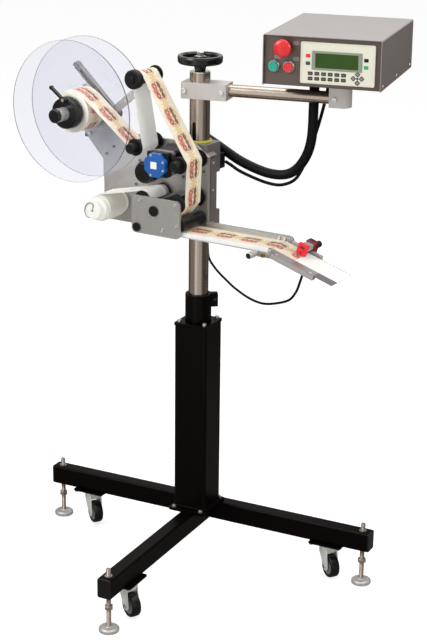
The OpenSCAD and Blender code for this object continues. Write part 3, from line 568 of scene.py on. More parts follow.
def clearSheet(name, colour, dull):  # acrylic that lets lamp light through to what is behind it
    mat, tree, bsdf = blankFinish(name)
    scuff = noise(tree, objectSpot(tree), 60.0, 4.0)
    body = mixed(tree, spread(tree, scuff, *midNoise), shade(colour, dull), colour)
    feed(tree, bsdf, {"Roughness": spread(tree, scuff, 0.4, 0.8, 0.01, 0.07), "Base Color": body,
                      "Transmission Weight": 1.0, "IOR": 1.3})
    path = node(tree, "LightPath")
    through = node(tree, "BsdfTransparent", {"Color": (0.93, 0.94, 0.96, 1.0)})
    both = node(tree, "MixShader", {0: path.outputs["Is Shadow Ray"], 1: bsdf.outputs[0], 2: through.outputs[0]})
    feed(tree, tree.nodes["Material Output"], {"Surface": both.outputs[0]})
    return mat


def woundPaper(name, rgb):  # edges of many paper turns: noise that changes along the turned profile only
    mat, tree, bsdf = blankFinish(name)
    colour = ink(*rgb)
    run = wrapSpot(tree)[1]
    turns = node(tree, "TexNoise", {"W": run, "Scale": 3.0, "Detail": 2.0}, noise_dimensions="1D").outputs[0]
    feed(tree, bsdf, {"Base Color": mixed(tree, spread(tree, turns, *midNoise), shade(colour, 0.86), colour),
                      "Roughness": spread(tree, turns, *midNoise, 0.55, 0.75),
                      "Normal": raised(tree, turns, 0.25, 0.0003)})
    return mat


def printedLabels(name, plan):
    # labels repeat along the web; each motif is a soft-edged diamond or disc measured from the label's middle
    mat, tree, bsdf = blankFinish(name)
    half = plan["pitch"] / 2
    across, run = wrapSpot(tree)[:2]
    a = sums(tree, "WRAP", run, half, -half)
    fibre = noise(tree, objectSpot(tree), 700.0, 3.0)

    def power(value, middle, reach, n):  # distance from the middle in reaches, raised to n
        off = sums(tree, "ABSOLUTE", sums(tree, "DIVIDE", sums(tree, "SUBTRACT", value, middle), reach))
        return sums(tree, "POWER", off, n)

    def inside(x, y, rx, ry, n, soft):  # 1 within a motif and 0 beyond its edge
        away = sums(tree, "ADD", power(a, x, rx, n), power(across, y, ry, n))
        return spread(tree, away, 1 + soft, 1 - soft)

    liner, cream = ink(*plan["liner"]), ink(*plan["cream"])
    body = mixed(tree, inside(0, 0, half - plan["gap"] / 2, plan["halfWidth"], 8.0, 0.08), liner, cream)
    for x, y, rx, ry, n, colour in plan["motifs"]:
        cover = sums(tree, "MULTIPLY", inside(x, y, rx, ry, n, 0.12), plan["strength"])
        body = mixed(tree, cover, body, ink(*colour))
    slant = sums(tree, "MULTIPLY", sums(tree, "ADD", a, across), 2 * math.pi / plan["stripe"])
    body = mixed(tree, spread(tree, sums(tree, "SINE", slant), 0.3, 0.9, 0.0, 0.22), body, cream)
    body = mixed(tree, spread(tree, fibre, 0.35, 0.75, 0.0, 0.14), body, ink(*plan["fibre"]))
    feed(tree, bsdf, {"Base Color": body, "Roughness": spread(tree, fibre, *midNoise, 0.32, 0.5),
                      "Normal": raised(tree, fibre, 0.08, 0.0002)})
    return mat


# plain ornament in warm inks: (along, across, half length, half width, shape power, colour)
printPlan = {
    "pitch": 69.0, "gap": 5.0, "halfWidth": 31.0, "strength": 0.95, "stripe": 3.4,
    "liner": (0.92, 0.885, 0.81), "cream": (0.945, 0.90, 0.82), "fibre": (0.80, 0.72, 0.58), "motifs": [
        (0, 0, 30, 24, 2.0, (0.86, 0.64, 0.40)), (0, 0, 27.5, 21.5, 2.0, (0.93, 0.83, 0.71)),
        (-12, 10, 9, 9, 2.0, (0.71, 0.27, 0.29)), (1, 12, 8, 9, 2.0, (0.79, 0.38, 0.36)),
        (13, 10, 9, 8, 2.0, (0.60, 0.18, 0.23)), (-12, 10, 3.5, 3.5, 1.0, (0.90, 0.76, 0.62)),
        (13, 10, 3.5, 3.5, 1.0, (0.90, 0.76, 0.62)), (-13, -8, 10.5, 6.5, 1.4, (0.34, 0.19, 0.10)),
        (1, -9, 8.5, 7, 1.4, (0.46, 0.31, 0.12)), (14, -8, 9.5, 6, 1.4, (0.28, 0.15, 0.09)),
        (-21, 1, 4, 4, 1.0, (0.62, 0.50, 0.24)), (21, 1, 4, 4, 1.0, (0.62, 0.50, 0.24)),
        (34.5, 0, 6, 15, 1.2, (0.90, 0.80, 0.52)), (-34.5, 0, 6, 15, 1.2, (0.90, 0.80, 0.52))]}

# moulded, painted and cast finishes
moulded = {"scale": 900, "tint": 0.08, "bump": 0.05, "cloud": 0.12, "cloudScale": 40, "coat": 0.3}
blackCoat = grained("blackCoat", (0.026, 0.010, 0.012), 0.34, scale=900, tint=0.2, cloud=0.2, shine=0.09)
blackMould = grained("blackMould", (0.05, 0.049, 0.05), 0.42, scale=1600, tint=0.25, bump=0.12, cloud=0.2, shine=0.3)
blackGloss = grained("blackGloss", (0.04, 0.04, 0.042), 0.22, scale=800, tint=0.25, bump=0.05, cloud=0.2, shine=0.45)
tyreRubber = grained("tyreRubber", (0.045, 0.043, 0.045), 0.32, scale=500, tint=0.2, shine=0.4)
hoseSkin = grained("hoseSkin", (0.035, 0.035, 0.038), 0.42, scale=420, tint=0.25, bump=0.3, depth=0.0004, shine=0.12)
hubGrey = grained("hubGrey", (0.50, 0.50, 0.49), 0.42, scale=400, tint=0.1, bump=0.1, cloud=0.15)
keyFace = grained("keyFace", (0.36, 0.34, 0.29), 0.45, scale=1200, tint=0.15, bump=0.08)
arrowFace = grained("arrowFace", (0.52, 0.52, 0.51), 0.45, scale=1200, tint=0.15, bump=0.08)
redMould = grained("redMould", (0.86, 0.10, 0.13), 0.30, **moulded)
tealMould = grained("tealMould", (0.03, 0.62, 0.53), 0.30, **moulded)
darkGreenKey = grained("darkGreenKey", (0.14, 0.27, 0.22), 0.42, scale=1200, tint=0.1, bump=0.08)
greenKey = grained("greenKey", (0.12, 0.62, 0.44), 0.42, scale=1200, bump=0.08)
blueMould = grained("blueMould", (0.06, 0.36, 0.68), 0.34, scale=900, bump=0.08, cloud=0.2, cloudScale=30, coat=0.2)
creamMould = grained("creamMould", (0.86, 0.85, 0.77), 0.44, scale=1300, tint=0.03, bump=0.10, cloud=0.08)
creamFilm = grained("creamFilm", (0.88, 0.875, 0.80), 0.36, scale=700, tint=0.03, bump=0.06, cloud=0.05)
greyFrame = grained("greyFrame", (0.54, 0.56, 0.51), 0.42, scale=1000, tint=0.05, bump=0.08)
screenGlass = grained("screenGlass", (0.20, 0.31, 0.12), 0.16, scale=420, tint=0.12, bump=0.02,
                      cloud=0.35, cloudScale=18, coat=0.05, shine=0.15)
whiteMould = grained("whiteMould", (0.90, 0.895, 0.87), 0.48, scale=700, tint=0.03, bump=0.10,
                     cloud=0.10, cloudScale=24)
linerPaper = grained("linerPaper", (0.92, 0.917, 0.895), 0.42, scale=420, tint=0.03, bump=0.06,
                     cloud=0.06, cloudScale=20)
yellowSeal = grained("yellowSeal", (0.80, 0.77, 0.26), 0.45, scale=600, bump=0.1)
sensorRed = grained("sensorRed", (0.93, 0.12, 0.17), 0.34, scale=900, bump=0.06, cloud=0.2, cloudScale=40)
darkRed = grained("darkRed", (0.50, 0.06, 0.13), 0.4, scale=900, tint=0.1, bump=0.06)
boardGreen = grained("boardGreen", (0.12, 0.36, 0.22), 0.5, scale=220, tint=0.25, bump=0.2)
# painted shade: the clear discs' rim band is an opaque mid grey, standing in for the dark line that the acrylic edge
# shows
discRim = grained("discRim", (0.50, 0.50, 0.54), 0.16, scale=200, tint=0.15, bump=0.04, cloud=0.3, cloudScale=6)

# metals: roughness, metal share, grain, scale, tint, roughness spread, bump, depth, cloud and cloud scale
poleSteel = grained("poleSteel", (0.71, 0.665, 0.62), 0.22, 1.0, (1, 1, 0.02), 240, 0.05, 0.05, 0.05, 0.0001, 0.10, 5)
tubeSteel = grained("tubeSteel", (0.68, 0.63, 0.585), 0.22, 1.0, (0.02, 1, 1), 240, 0.05, 0.05, 0.05, 0.0001, 0.10, 8)
clampAlloy = grained("clampAlloy", (0.78, 0.765, 0.75), 0.48, 0.55, (1, 1, 0.06), 500, 0.05, 0.05, 0.10, 0.0002, 0.06)
stubAlloy = grained("stubAlloy", (0.78, 0.78, 0.78), 0.32, 0.6, (1, 0.05, 1), 300, 0.05, 0.05, 0.03, 0.0001, 0.08,
                    shine=0.6)
lipSteel = grained("lipSteel", (0.95, 0.95, 0.94), 0.5, 0.1, (0.03, 1, 1), 500, 0.03, 0.05, 0.06, 0.0001, 0.05)
frontSteel = grained("frontSteel", (0.68, 0.675, 0.655), 0.42, 0.6, (1, 1, 0.04), 500, 0.05, 0.07, 0.12, 0.0002, 0.14)
noseSteel = grained("noseSteel", (0.64, 0.615, 0.62), 0.34, 0.6, (0.04, 1, 1), 500, 0.05, 0.06, 0.06, 0.0001, 0.16, 10)
tipSteel = grained("tipSteel", (0.47, 0.45, 0.46), 0.34, 0.6, (0.04, 1, 1), 500, 0.05, 0.06, 0.06, 0.0001, 0.12, 10)
# painted shade: the box tray's steel is darker and browner than the lid's, standing in for the dark reflection its
# front panel shows
boxSteel = grained("boxSteel", (0.385, 0.34, 0.315), 0.42, 0.6, (1, 1, 0.03), 700, 0.06, 0.06, 0.10, 0.0002)
lidSteel = grained("lidSteel", (0.615, 0.59, 0.58), 0.40, 0.8, (0.03, 1, 1), 700, 0.05, 0.06, 0.10, 0.0002, 0.08)
plateSteel = grained("plateSteel", (0.725, 0.715, 0.69), 0.40, 0.7, (1, 1, 0.04), 500, 0.05, 0.07, 0.12,
                     0.0002, 0.10, 8)
darkSteel = grained("darkSteel", (0.60, 0.585, 0.57), 0.38, 0.85, (1, 1, 0.1), 500, 0.06, 0.07, 0.10, 0.0002, 0.16, 20)
housingSteel = grained("housingSteel", (0.52, 0.495, 0.49), 0.44, 0.6, (1, 1, 0.05), 500, 0.06, 0.06, 0.10, 0.0002)
rollerSleeve = grained("rollerSleeve", (0.80, 0.80, 0.80), 0.42, 0.3, (1, 1, 1), 260, 0.04, 0.06, 0.08, 0.0002, 0.08)
screwZinc = grained("screwZinc", (0.88, 0.87, 0.85), 0.26, 0.9, scale=500, bump=0.05, cloud=0.15, cloudScale=90)
forkZinc = grained("forkZinc", (0.88, 0.885, 0.86), 0.42, 0.35, scale=160, bump=0.08, cloud=0.15, cloudScale=30)
studSteel = grained("studSteel", (0.70, 0.645, 0.60), 0.36, 0.8, tint=0.12, bump=0.1, cloud=0.25, cloudScale=40)
padSteel = grained("padSteel", (0.80, 0.79, 0.78), 0.42, 0.55, scale=240, tint=0.06, bump=0.1,
                   cloud=0.15, cloudScale=30)
bronze = grained("bronze", (0.62, 0.50, 0.30), 0.36, 0.9, tint=0.1)

# clear, wound and printed sheets
clearDisc = clearSheet("clearDisc", (0.90, 0.905, 0.95, 1.0), 0.985)
rollEdge = woundPaper("rollEdge", (0.95, 0.92, 0.83))
linerEdge = woundPaper("linerEdge", (0.93, 0.92, 0.88))
labelPrint = printedLabels("labelPrint", printPlan)
for sheet, paintedGlow in ((linerPaper, 0.16), (whiteMould, 0.12)):
    # painted light: a faint emission glow makes the liner paper and the white plastic look lit even where they lie in
    # shade
    feed(sheet.node_tree, sheet.node_tree.nodes["Principled BSDF"],
         {"Emission Color": (1.0, 0.992, 0.975, 1.0), "Emission Strength": paintedGlow})
print("finishes mixed:", len(bpy.data.materials))

# cords first: routes from the pole axis, and for the sensor cable in the head's u, n, z
cordPlan = {
    "supplyHose": {"d": 24.0, "count": 260, "route": [
        (-14, 62, 1111), (15, 62, 1096), (44, 63, 1080), (73, 63, 1065), (100, 64, 1054), (128, 65, 1045),
        (156, 66, 1039), (184, 67, 1038), (208, 68, 1043), (228, 69, 1056), (245, 70, 1077), (258, 71, 1104),
        (265, 72, 1135), (267, 73, 1168), (267, 74, 1200), (267, 76, 1250), (267, 76, 1298)]},
    "signalCable": {"d": 8.0, "count": 120, "route": [
        (48, 46, 1060), (62, 47, 1053), (82, 54, 1039), (112, 66, 1024), (150, 74, 1012), (185, 80, 1010),
        (218, 86, 1026), (238, 92, 1062), (253, 95, 1105), (270, 97, 1160), (284, 98, 1215), (292, 99, 1258),
        (292, 99, 1298)]},
    "sensorCable": {"d": 6.0, "count": 120, "route": [
        (-4, -39, 10), (-4, -42, -20), (-4, -48, -50), (-2, -51, -86), (10, -57, -110), (28, -57, -126),
        (54, -50, -139), (97, -14, -140), (167, 38, -139), (230, 80, -131), (282, 105, -115), (330, 127, -92),
        (358, 145, -62), (371, 152, -35), (377, 152, -16)]}}


def makeCord(name, mapper, swap, bodies, start, end, stiffness):  # round cord along its route
    plan = cordPlan[name]
    path = evenPath(easedPath(plan["route"], 8), plan["count"])
    cord = piece(name, fitted(mapper)(hoseSkin, sweep(path, plan["d"] / 2, 18)), None, "rubber", swap, 60)
    way = mapper(path)
    length = float(runLength(way)[-1])
    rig.blend(cord, *bodies, start=tuple(mapper(start)), end=tuple(mapper(end)))
    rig.cord(cord, exit=way[0], length=length, diameter=plan["d"] / 1000, far_end="object",
            stiffness=stiffness, lay="hanging", path=way.tolist())
    print(name, "length", round(length, 3), "m")


makeCord("supplyHose", onStand, "supply_hose", ("head", "stand"), (20, 62, 1090), (250, 62, 1090), "stiff")
makeCord("signalCable", onStand, "signal_cable", ("head", "stand"), (60, 50, 1050), (245, 50, 1050), "medium")
makeCord("sensorCable", onHead, "sensor_cable", ("head", "nose"), (200, 62, -130), (372, 150, -130), "medium")

# three-legged base of square tube
baseTube = {"w": 38.0, "z0": 95.0, "z1": 146.0, "beam": 462.0, "leg": -478.0, "yFront": 40.0, "yBack": 78.0,
            "round": 5.0, "cap": 5.0, "inset": 0.3}
feetAt = [(-444.0, 59.0), (444.0, 59.0), (0.0, -460.0)]
castorsAt = [(-350.0, 59.0), (350.0, 59.0), (0.0, -366.0)]
standing = fitted(onStand)


def stood(x, y):  # parts turned about an upright axis
    return fitted(atZ(x, y))


def makeBase():
    b = {**baseTube, "castorPlate": (45, 31), "footBolts": (38, 54), "capScrews": 35}
    half, beam, leg, cap = b["w"] / 2, b["beam"], b["leg"], b["cap"]
    alongX = fitted(lambda p: onStand(p[:, [2, 0, 1]]))
    alongY = fitted(lambda p: onStand(p[:, [0, 2, 1]]))

    def tube(side0, side1, ends, inset=0.0, *rim):
        outline = roundRect(side0 + inset, b["z0"] + inset, side1 - inset, b["z1"] - inset, b["round"])
        return prism(outline, *ends, *rim)

    long, short = tube(b["yFront"], b["yBack"], (-beam, beam)), tube(-half, half, (leg, b["yFront"]))
    piece("crossBeam", alongX(blackCoat, long), "stand", "black_paint", "cross_beam")
    piece("frontLeg", alongY(blackCoat, short), "stand", "black_paint", "front_leg")
    parts = alongY(blackMould, tube(-half, half, (leg - cap, leg), b["inset"], 1.8, 4))
    for ends in ((-beam - cap, -beam), (beam, beam + cap)):
        parts += alongX(blackMould, tube(b["yFront"], b["yBack"], ends, b["inset"], 1.8, 4))
    for i, (x, y) in enumerate(castorsAt):
        w, d = b["castorPlate"] if i < 2 else b["castorPlate"][::-1]
        parts += stood(x, y)(blackCoat, prism(roundRect(-w, -d, w, d, 7), 91, b["z0"], 0.9))
        for sx, sy in corners:
            parts += stood(x + sx * (w - 8), y + sy * (d - 6))(screwZinc, nutShape(9, 87.6, 91.2))
    for sx, sy in corners:
        onBolt = stood(sx * b["footBolts"][0], sy * b["footBolts"][1])
        parts += onBolt(studSteel, drum(6, 154, 155.2, 0.3, 24), nutShape(9, 155, 159))
        parts += stood(sx * b["capScrews"], sy * b["capScrews"])(screwZinc, capScrew(5.5, 655, 661))
    for x, y in feetAt:
        washer = [(6.2, 146), (9.5, 146), (9.5, 147.2), (6.2, 147.2)]
        parts += stood(x, y)(screwZinc, turned(washer, 0.3, 2, 24, True))
    piece("legFittings", parts, "stand", "black_plastic", "leg_fittings")


def makeColumn():
    c = {"half": 45.0, "foot": 146.0, "z0": 154.0, "z1": 647.0, "top": 655.0, "sleeveTop": 727.0,
         "lugTurn": 35.0, "lugZ": 691.0, "screw": (41.0, 711.0)}
    plate = lambda w, d, z0, z1, r, n, *rim: prism(roundRect(-w, -d, w, d, r, n), z0, z1, *rim)
    parts = standing(
        blackCoat, plate(c["half"], c["half"], c["z0"], c["z1"], 8, 7, 0.4),
        plate(51, 62, c["foot"], c["z0"], 5, 5, 1.2), plate(48, 48, c["z0"] - 0.5, 158, 11, 5, 3.6, 4),
        plate(46, 46, c["z1"], c["top"], 5, 5, 1.2))
    piece("squareColumn", parts, "stand", "black_paint", "column")
    onLug = lambda p: onStand(np.stack([*turnBy(p[:, 0], p[:, 1], c["lugTurn"]), p[:, 2]], -1))
    u, z = c["screw"]
    across = fitted(lambda p: onLug(np.stack([p[:, 0] + u, p[:, 2], p[:, 1] + z], -1)))
    ear = lambda t0, t1: brick(27, 49, t0, t1, c["lugZ"], c["sleeveTop"], 2)
    parts = standing(blackCoat, collar(25.02, 33, c["top"], c["sleeveTop"], 1.6, 64))
    parts += fitted(onLug)(blackCoat, ear(1, 9), ear(-9, -1))
    parts += across(screwZinc, capScrew(6.5, 9, 13), drum(3.2, -9, 9, 0.2, 16))
    piece("poleSleeve", parts, "stand", "black_paint", "pole_sleeve")


def makePole():
    p = {"r": 25.0, "rIn": 22.0, "z0": 154.0, "top": 1283.0, "slotR": 5.0, "slotFrom": 883.0, "slotTo": 1166.0}
    # slotted length: an open ring whose two ends are the slot's sides; its gap closes on a half circle at the top
    half = math.asin(p["slotR"] / p["r"])
    th = np.linspace(half, fullTurn - half, 72)
    front = math.radians(-90.0 + place["headSwing"])
    levels = [(p["slotFrom"], 1.0), (p["slotTo"] - p["slotR"], 1.0)]
    for a in np.linspace(0, np.pi / 2, 7)[1:]:
        levels.append((p["slotTo"] - p["slotR"] * (1 - math.sin(a)), max(0.02, math.cos(a))))
    rows = []
    for z, k in levels:
        a = np.pi + (th - np.pi) * (np.pi - half * k) / (np.pi - half) + front
        rows.append(atLevel(np.concatenate([ringAt(p["r"], a), ringAt(p["rIn"], a[::-1])]), z))
    tube = lambda z0, z1: collar(p["rIn"], p["r"], z0, z1, 0.05, 72)
    plug = turned([(6.1, 1263), (22, 1263), (22, 1283), (24.5, 1283.4), (24.5, 1287), (6.1, 1287)],
                  [0, 0.3, 0, 0.3, 0.8, 0], 3, 72, True)
    parts = standing(poleSteel, tube(p["z0"], p["slotFrom"]), skin(rows), tube(p["slotTo"], p["top"]))
    piece("slottedPole", parts + standing(screwZinc, plug), "stand", "steel", "pole", 30)


def makeBoom():
    c = {"z0": 1222.0, "z1": 1262.0, "half": 27.5, "left": -40.0, "right": 75.0, "slit": 1.5, "slitTo": -24.0,
         "tubeZ": 1244.0, "tubeFrom": 30.0, "tubeTo": 353.0}
    e = {"from": 325.0, "half": 22.5, "z0": 1224.0, "z1": 1298.0, "screws": 339.0}
    left, right, half, slit = c["left"], c["right"], c["half"], c["slit"]
    sides = [(left, slit), (left, half), (right, half), (right, -half), (left, -half), (left, -slit)]
    block = np.concatenate([soften(sides, [0, 3, 3, 3, 3, 0], 4), [(c["slitTo"], -slit), (c["slitTo"], slit)]])

    def screw(s, z, t, r, out):  # head on a block's front side
        mapper = lambda p: onBoom(np.stack([s + p[:, 0], t - p[:, 2], z + p[:, 1]], -1))
        return fitted(mapper)(screwZinc, capScrew(r, -1, out))

    on = fitted(onBoom)
    parts = on(clampAlloy, prism(block, c["z0"], c["z1"], 1.0))
    parts += screw(-32, 1242, -half, 6.5, 6) + screw(62, 1242, -half, 5.5, 5)
    piece("boomClamp", parts, "stand", "aluminium", "boom_clamp")
    alongS = fitted(lambda p: onBoom(np.stack([p[:, 2], p[:, 0], p[:, 1] + c["tubeZ"]], -1)))
    tube = collar(12.5, 15, c["tubeFrom"], c["tubeTo"], 0.3, 56)
    piece("boomTube", alongS(tubeSteel, tube), "stand", "steel", "boom_tube", 30)
    bow = ringAt(e["half"], np.linspace(-np.pi / 2, np.pi / 2, 25)) + [c["tubeTo"], 0.0]
    end = np.concatenate([[(e["from"], e["half"]), (e["from"], -e["half"])], bow])
    parts = on(clampAlloy, prism(end, e["z0"], e["z1"], 1.2))
    parts += screw(e["screws"], c["tubeZ"], -e["half"], 5.5, 5) + screw(e["screws"], 1280, -e["half"], 5.0, 4)
    piece("boomHead", parts, "stand", "aluminium", "boom_head")


makeBase()
makeColumn()
makePole()
makeBoom()
print("stand, pole and boom built")

# control box: lid bent over a U-shaped chassis, operator panel and three buttons
boxPlan = {"left": 204.5, "right": 479.5, "z0": 1298.0, "z1": 1413.0, "half": 172.5, "panel": -164.5,
           "sheet": 2.0, "lap": 2.2}
buttonsAt = {"estop": (253.5, 1385.0), "start": (229.5, 1341.0), "stop": (264.5, 1341.0)}


def onPanel(s, z):  # parts standing out from the front panel
    return fitted(lambda p: onBoom(np.stack([s + p[:, 0], boxPlan["panel"] - p[:, 2], z + p[:, 1]], -1)))


def makeBox():
    b = boxPlan
    g, lap = b["sheet"], b["lap"]

    def bent(x0, x1, za, zb, inward, rOut, rIn):  # sheet folded up or down along both sides
        fold = lambda x0, x1, zb, r: soften([(x0, za), (x0, zb), (x1, zb), (x1, za)], [0, r, r, 0], 5)
        return np.concatenate([fold(x0, x1, zb, rOut), fold(x0 + g, x1 - g, zb + inward, rIn)[::-1]])

    lid = prism(bent(b["left"], b["right"], b["z0"], b["z1"], -g, 4.0, 2.0), -b["half"], b["half"], 0.5)
    parts = fitted(lambda p: onBoom(p[:, [0, 2, 1]]))(lidSteel, lid)
    for side, s in ((1, b["right"]), (-1, b["left"])):
        for t in (-150, 0, 150):
            out = lambda p: onBoom(np.stack([s + side * p[:, 2], t + p[:, 0], b["z0"] + 9 + p[:, 1]], -1))
            parts += fitted(out)(screwZinc, domeHead(3.4, -0.4, 1.6))
    piece("boxLid", parts, "stand", "box_steel", "box_cover")
    tray = bent(b["panel"], -b["panel"], b["z1"] - lap, b["z0"], g, 2.5, 1.0)
    alongS = fitted(lambda p: onBoom(p[:, [2, 0, 1]]))
    # the tray takes the shaded box steel: its darker colour is painted shade
    parts = alongS(boxSteel, prism(tray, b["left"] + lap, b["right"] - lap, 0.4))
    piece("boxTray", parts, "stand", "box_steel", "box_chassis")


def makePanel():
    # places on the panel in millimetres from its lower left corner
    d = {"s": 292.5, "z": 1307.0, "w": 172.0, "h": 94.0, "keyRows": (12.0, 23.5), "keyFrom": 24.0, "keyStep": 15.4,
         "padAt": (133.0, 18.0), "padR": 9.5}
    on = onPanel(d["s"], d["z"])
    sheet = lambda finish, x0, y0, x1, y1, r, *v: on(finish, prism(roundRect(x0, y0, x1, y1, r), *v))
    tile = lambda x, y, w, h, r, n: roundRect(x - w / 2, y - h / 2, x + w / 2, y + h / 2, r, n)
    stud = lambda finish, outline: on(finish, prism(outline, 5.9, 7.0, 0.4))
    inlay = lambda finish, outline: on(finish, prism(outline, 6.8, 7.15, 0.1))
    key = lambda finish, x, y, w=10: stud(finish, tile(x, y, w, 8, 1.2, 3))
    face = lambda finish, x, y, w, h: inlay(finish, tile(x, y, w, h, 0.6, 2))
    parts = sheet(creamMould, 0, 0, d["w"], d["h"], 4, 0, 6, 1.6, 4)
    parts += sheet(creamFilm, 6, 4, d["w"] - 6, d["h"] - 5, 3, 5.9, 6.25, 0.2)
    parts += sheet(greyFrame, 27, 32, 143, 75, 2.5, 5.9, 7.5, 0.6)
    parts += sheet(screenGlass, 35, 37, 134, 70, 1.2, 7.3, 7.65, 0.1)
    for row in d["keyRows"]:
        for x in d["keyFrom"] + d["keyStep"] * np.arange(6):
            parts += key(blackMould, x, row, 11) + face(keyFace, x, row, 8, 4.2)
    parts += key(redMould, 18, 63) + key(darkGreenKey, 18, 46) + key(blackMould, 152, 60) + key(greenKey, 152, 44)
    for quarter in range(4):
        spot = np.array(d["padAt"]) + turnBy(d["padR"], 0.0, 90.0 * quarter)
        square = lambda r: np.stack(turnBy(*roundRect(-r, -r, r, r, r / 4, 3).T, 45.0), -1) + spot
        parts += stud(blackMould, square(4.6)) + inlay(arrowFace, square(3.1))
    parts += face(blackMould, *d["padAt"], 4.4, 4.4)
    piece("operatorPanel", parts, "stand", "panel_cream", "display_panel")


def makeButtons():
    b = {"legend": (15.0, 9.0), "bezel": 14.5, "bore": 11.05, "dome": 20.0, "domeFrom": 22.0, "domeRise": 6.0}
    at = {name: onPanel(*spot) for name, spot in buttonsAt.items()}
    ring = turned([(b["bore"], 0), (b["bezel"], 0), (b["bezel"], 3.5), (12.4, 6.0), (b["bore"], 6.0)],
                  [0, 0.3, 1.2, 0.6, 0], 4, 48, True)
    parts = at["estop"](blackMould, collar(8.1, 16, 0, 9, 1.2))
    parts += at["start"](darkSteel, ring) + at["stop"](darkSteel, ring)
    w, h = b["legend"]
    legend = prism(roundRect(-w / 2, -h / 2, w / 2, h / 2, 1, 3), 0, 0.8, 0.2)
    for name, ds, dz in (("estop", 27, 10), ("start", 8, 21), ("stop", 17, 19)):
        s, z = buttonsAt[name]
        parts += onPanel(s + ds, z + dz)(housingSteel, legend)
    for name in ("supplyHose", "signalCable"):  # glands where the cords enter the box
        r, (x, y, top) = cordPlan[name]["d"] / 2, cordPlan[name]["route"][-1]
        parts += stood(x, y)(blackMould, collar(r + 0.3, r + 6, top - 14, top - 4.5, 1.6, 36),
                             collar(r + 0.3, r + 5.5, top - 4, top, 0.8, 6))
    piece("panelFittings", parts, "stand", "black_plastic", "panel_fittings")
    # mushroom: stem, rounded lip, then a dome whose radius falls with the cosine
    a = np.linspace(0, np.pi / 2 * 0.96, 9)
    dome = np.stack([b["dome"] * np.cos(a), b["domeFrom"] + b["domeRise"] * np.sin(a)], -1)
    lip = soften([(17.5, 16), (b["dome"], 16.6), (b["dome"], b["domeFrom"])], 1.2, 3)
    outline = np.concatenate([[(4, -20), (8, -20), (8, 15.5), (17.5, 16)], lip[1:], dome[1:]])
    piece("stopMushroom", at["estop"](redMould, lathe(outline, 56)), "estop", "red_plastic", "estop_button", 50)
    cap = turned([(5, -16), (11, -16), (11, 10), (9.2, 10), (8.4, 9.3), (1, 9.0)], [0, 0.4, 0.9, 0.4, 0.3, 0], 3, 48)
    for name, finish, slotName in (("start", tealMould, "green_plastic"), ("stop", redMould, "red_plastic")):
        piece(name + "Cap", at[name](finish, cap), name, slotName, name + "_button", 50)


def makeHandwheel():
    h = {"hub": 1287.3, "rim": 1305.3, "top": 1325.3, "nut": 1322.3, "r": 55.0, "bore": 6.05, "screwFrom": 863.0,
         "screwTo": 1262.0, "lead": 8.0}
    r, rim, top, nut, bore = h["r"], h["rim"], h["top"], h["nut"], h["bore"]
    # dish on a flared hub: the rim leans out a little towards its top
    dish = turned([(bore, h["hub"]), (13, h["hub"]), (14.5, 1295), (18, rim), (r - 4, rim), (r - 0.8, rim + 4),
                   (r, top - 5), (r - 2, top), (r - 9, top), (r - 12, top - 4), (42, rim + 6), (17, rim + 6),
                   (15, rim + 9), (15, nut), (bore, nut)],
                  [0, 0.8, 6, 3, 3, 3, 3, 2, 2.5, 3, 3, 2, 2, 1, 0], 4, 96, True)
    piece("handwheelDish", standing(blackGloss, dish), "drive", "black_plastic", "handwheel", 50)
    parts = standing(studSteel, thread(8, h["screwFrom"], h["screwTo"], h["lead"], 1.2, 24))
    parts += standing(screwZinc, drum(6, h["screwTo"], nut, 0.3, 32), nutShape(17, nut, nut + 11),
                      domeHead(6, 1332.5, 1336.3), drum(10, nut, nut + 1.3, 0.3, 32))
    piece("leadScrew", parts, "drive", "steel", "lead_screw")


makeBox()
makePanel()
makeButtons()
makeHandwheel()
frame["nodes"]["control_board"].data.materials.clear()
frame["nodes"]["control_board"].data.materials.append(boardGreen)
print("control box and height drive built")

castorPlan = {"names": ("left", "right", "front"), "angles": (-38.0, -40.0, -32.0), "trail": 18.0, "axle": 34.5,
              "crown": 90.7}


def mirrored(half):  # profile and its mirror image about height 0
    return half + [(r, -h) for r, h in half[::-1]]


def makeCastor(i):
    c = castorPlan
    name, (x, y), crown = c["names"][i], castorsAt[i], c["crown"]
    swung = lambda p: onStand(np.stack([*turnBy(p[:, 0], p[:, 1], c["angles"][i]), p[:, 2]], -1) + [x, y, 0.0])
    on = fitted(swung)
    alongY = fitted(lambda p: swung(np.stack([p[:, 0], -p[:, 2], p[:, 1]], -1)))
    onAxle = fitted(lambda p: swung(np.stack([p[:, 0] + c["trail"], -p[:, 2], p[:, 1] + c["axle"]], -1)))
    cheek = soften([(-19, crown - 3), (-18, 65), (4, 34), (12, 22.5), (24, 22.5), (30, 32), (20, crown - 3)],
                   [2, 9, 8, 8, 8, 10, 2], 5, True)
    swivel = turned([(8, 81.7), (20.5, 81.7), (22, 84), (22, 88.5), (19, crown), (8, crown)],
                    [0, 1, 1.5, 1.5, 0.5, 0], 3, 48)
    parts = on(forkZinc, swivel, collar(13, 21, 79.5, 82.5, 1.2), brick(-17, 18, -14, 14, 68.5, 87.6, 3.0))
    parts += on(studSteel, drum(6, 89, 104, 0.5, 24)) + on(screwZinc, nutShape(14, 78, 82))
    for side in (-1, 1):
        parts += alongY(forkZinc, prism(cheek, *sorted((side * 13.5, side * 16.5)), 0.9, 3))
        parts += onAxle(screwZinc, nutShape(10.5, *sorted((side * 16.3, side * 19.3))))
    parts += onAxle(screwZinc, drum(4, -19.5, 19.5, 0.5, 20))
    piece("castorFork_" + name, parts, "fork_" + name, "zinc", "castor_fork_" + name)
    tyre = turned(mirrored([(21.5, -11.4), (25.5, -12.5), (29.7, -10.5), (30.5, -4)]),
                  [0.5, 2, 3, 4, 4, 3, 2, 0.5], 4, 64, True)
    core = turned(mirrored([(4.05, -12), (8, -12), (8.6, -9), (19, -8.2), (22, -10.8)]), 0.7, 3, 64, True)
    parts = onAxle(tyreRubber, tyre) + onAxle(hubGrey, core)
    piece("castorWheel_" + name, parts, "wheel_" + name, "rubber", "castor_wheel_" + name)


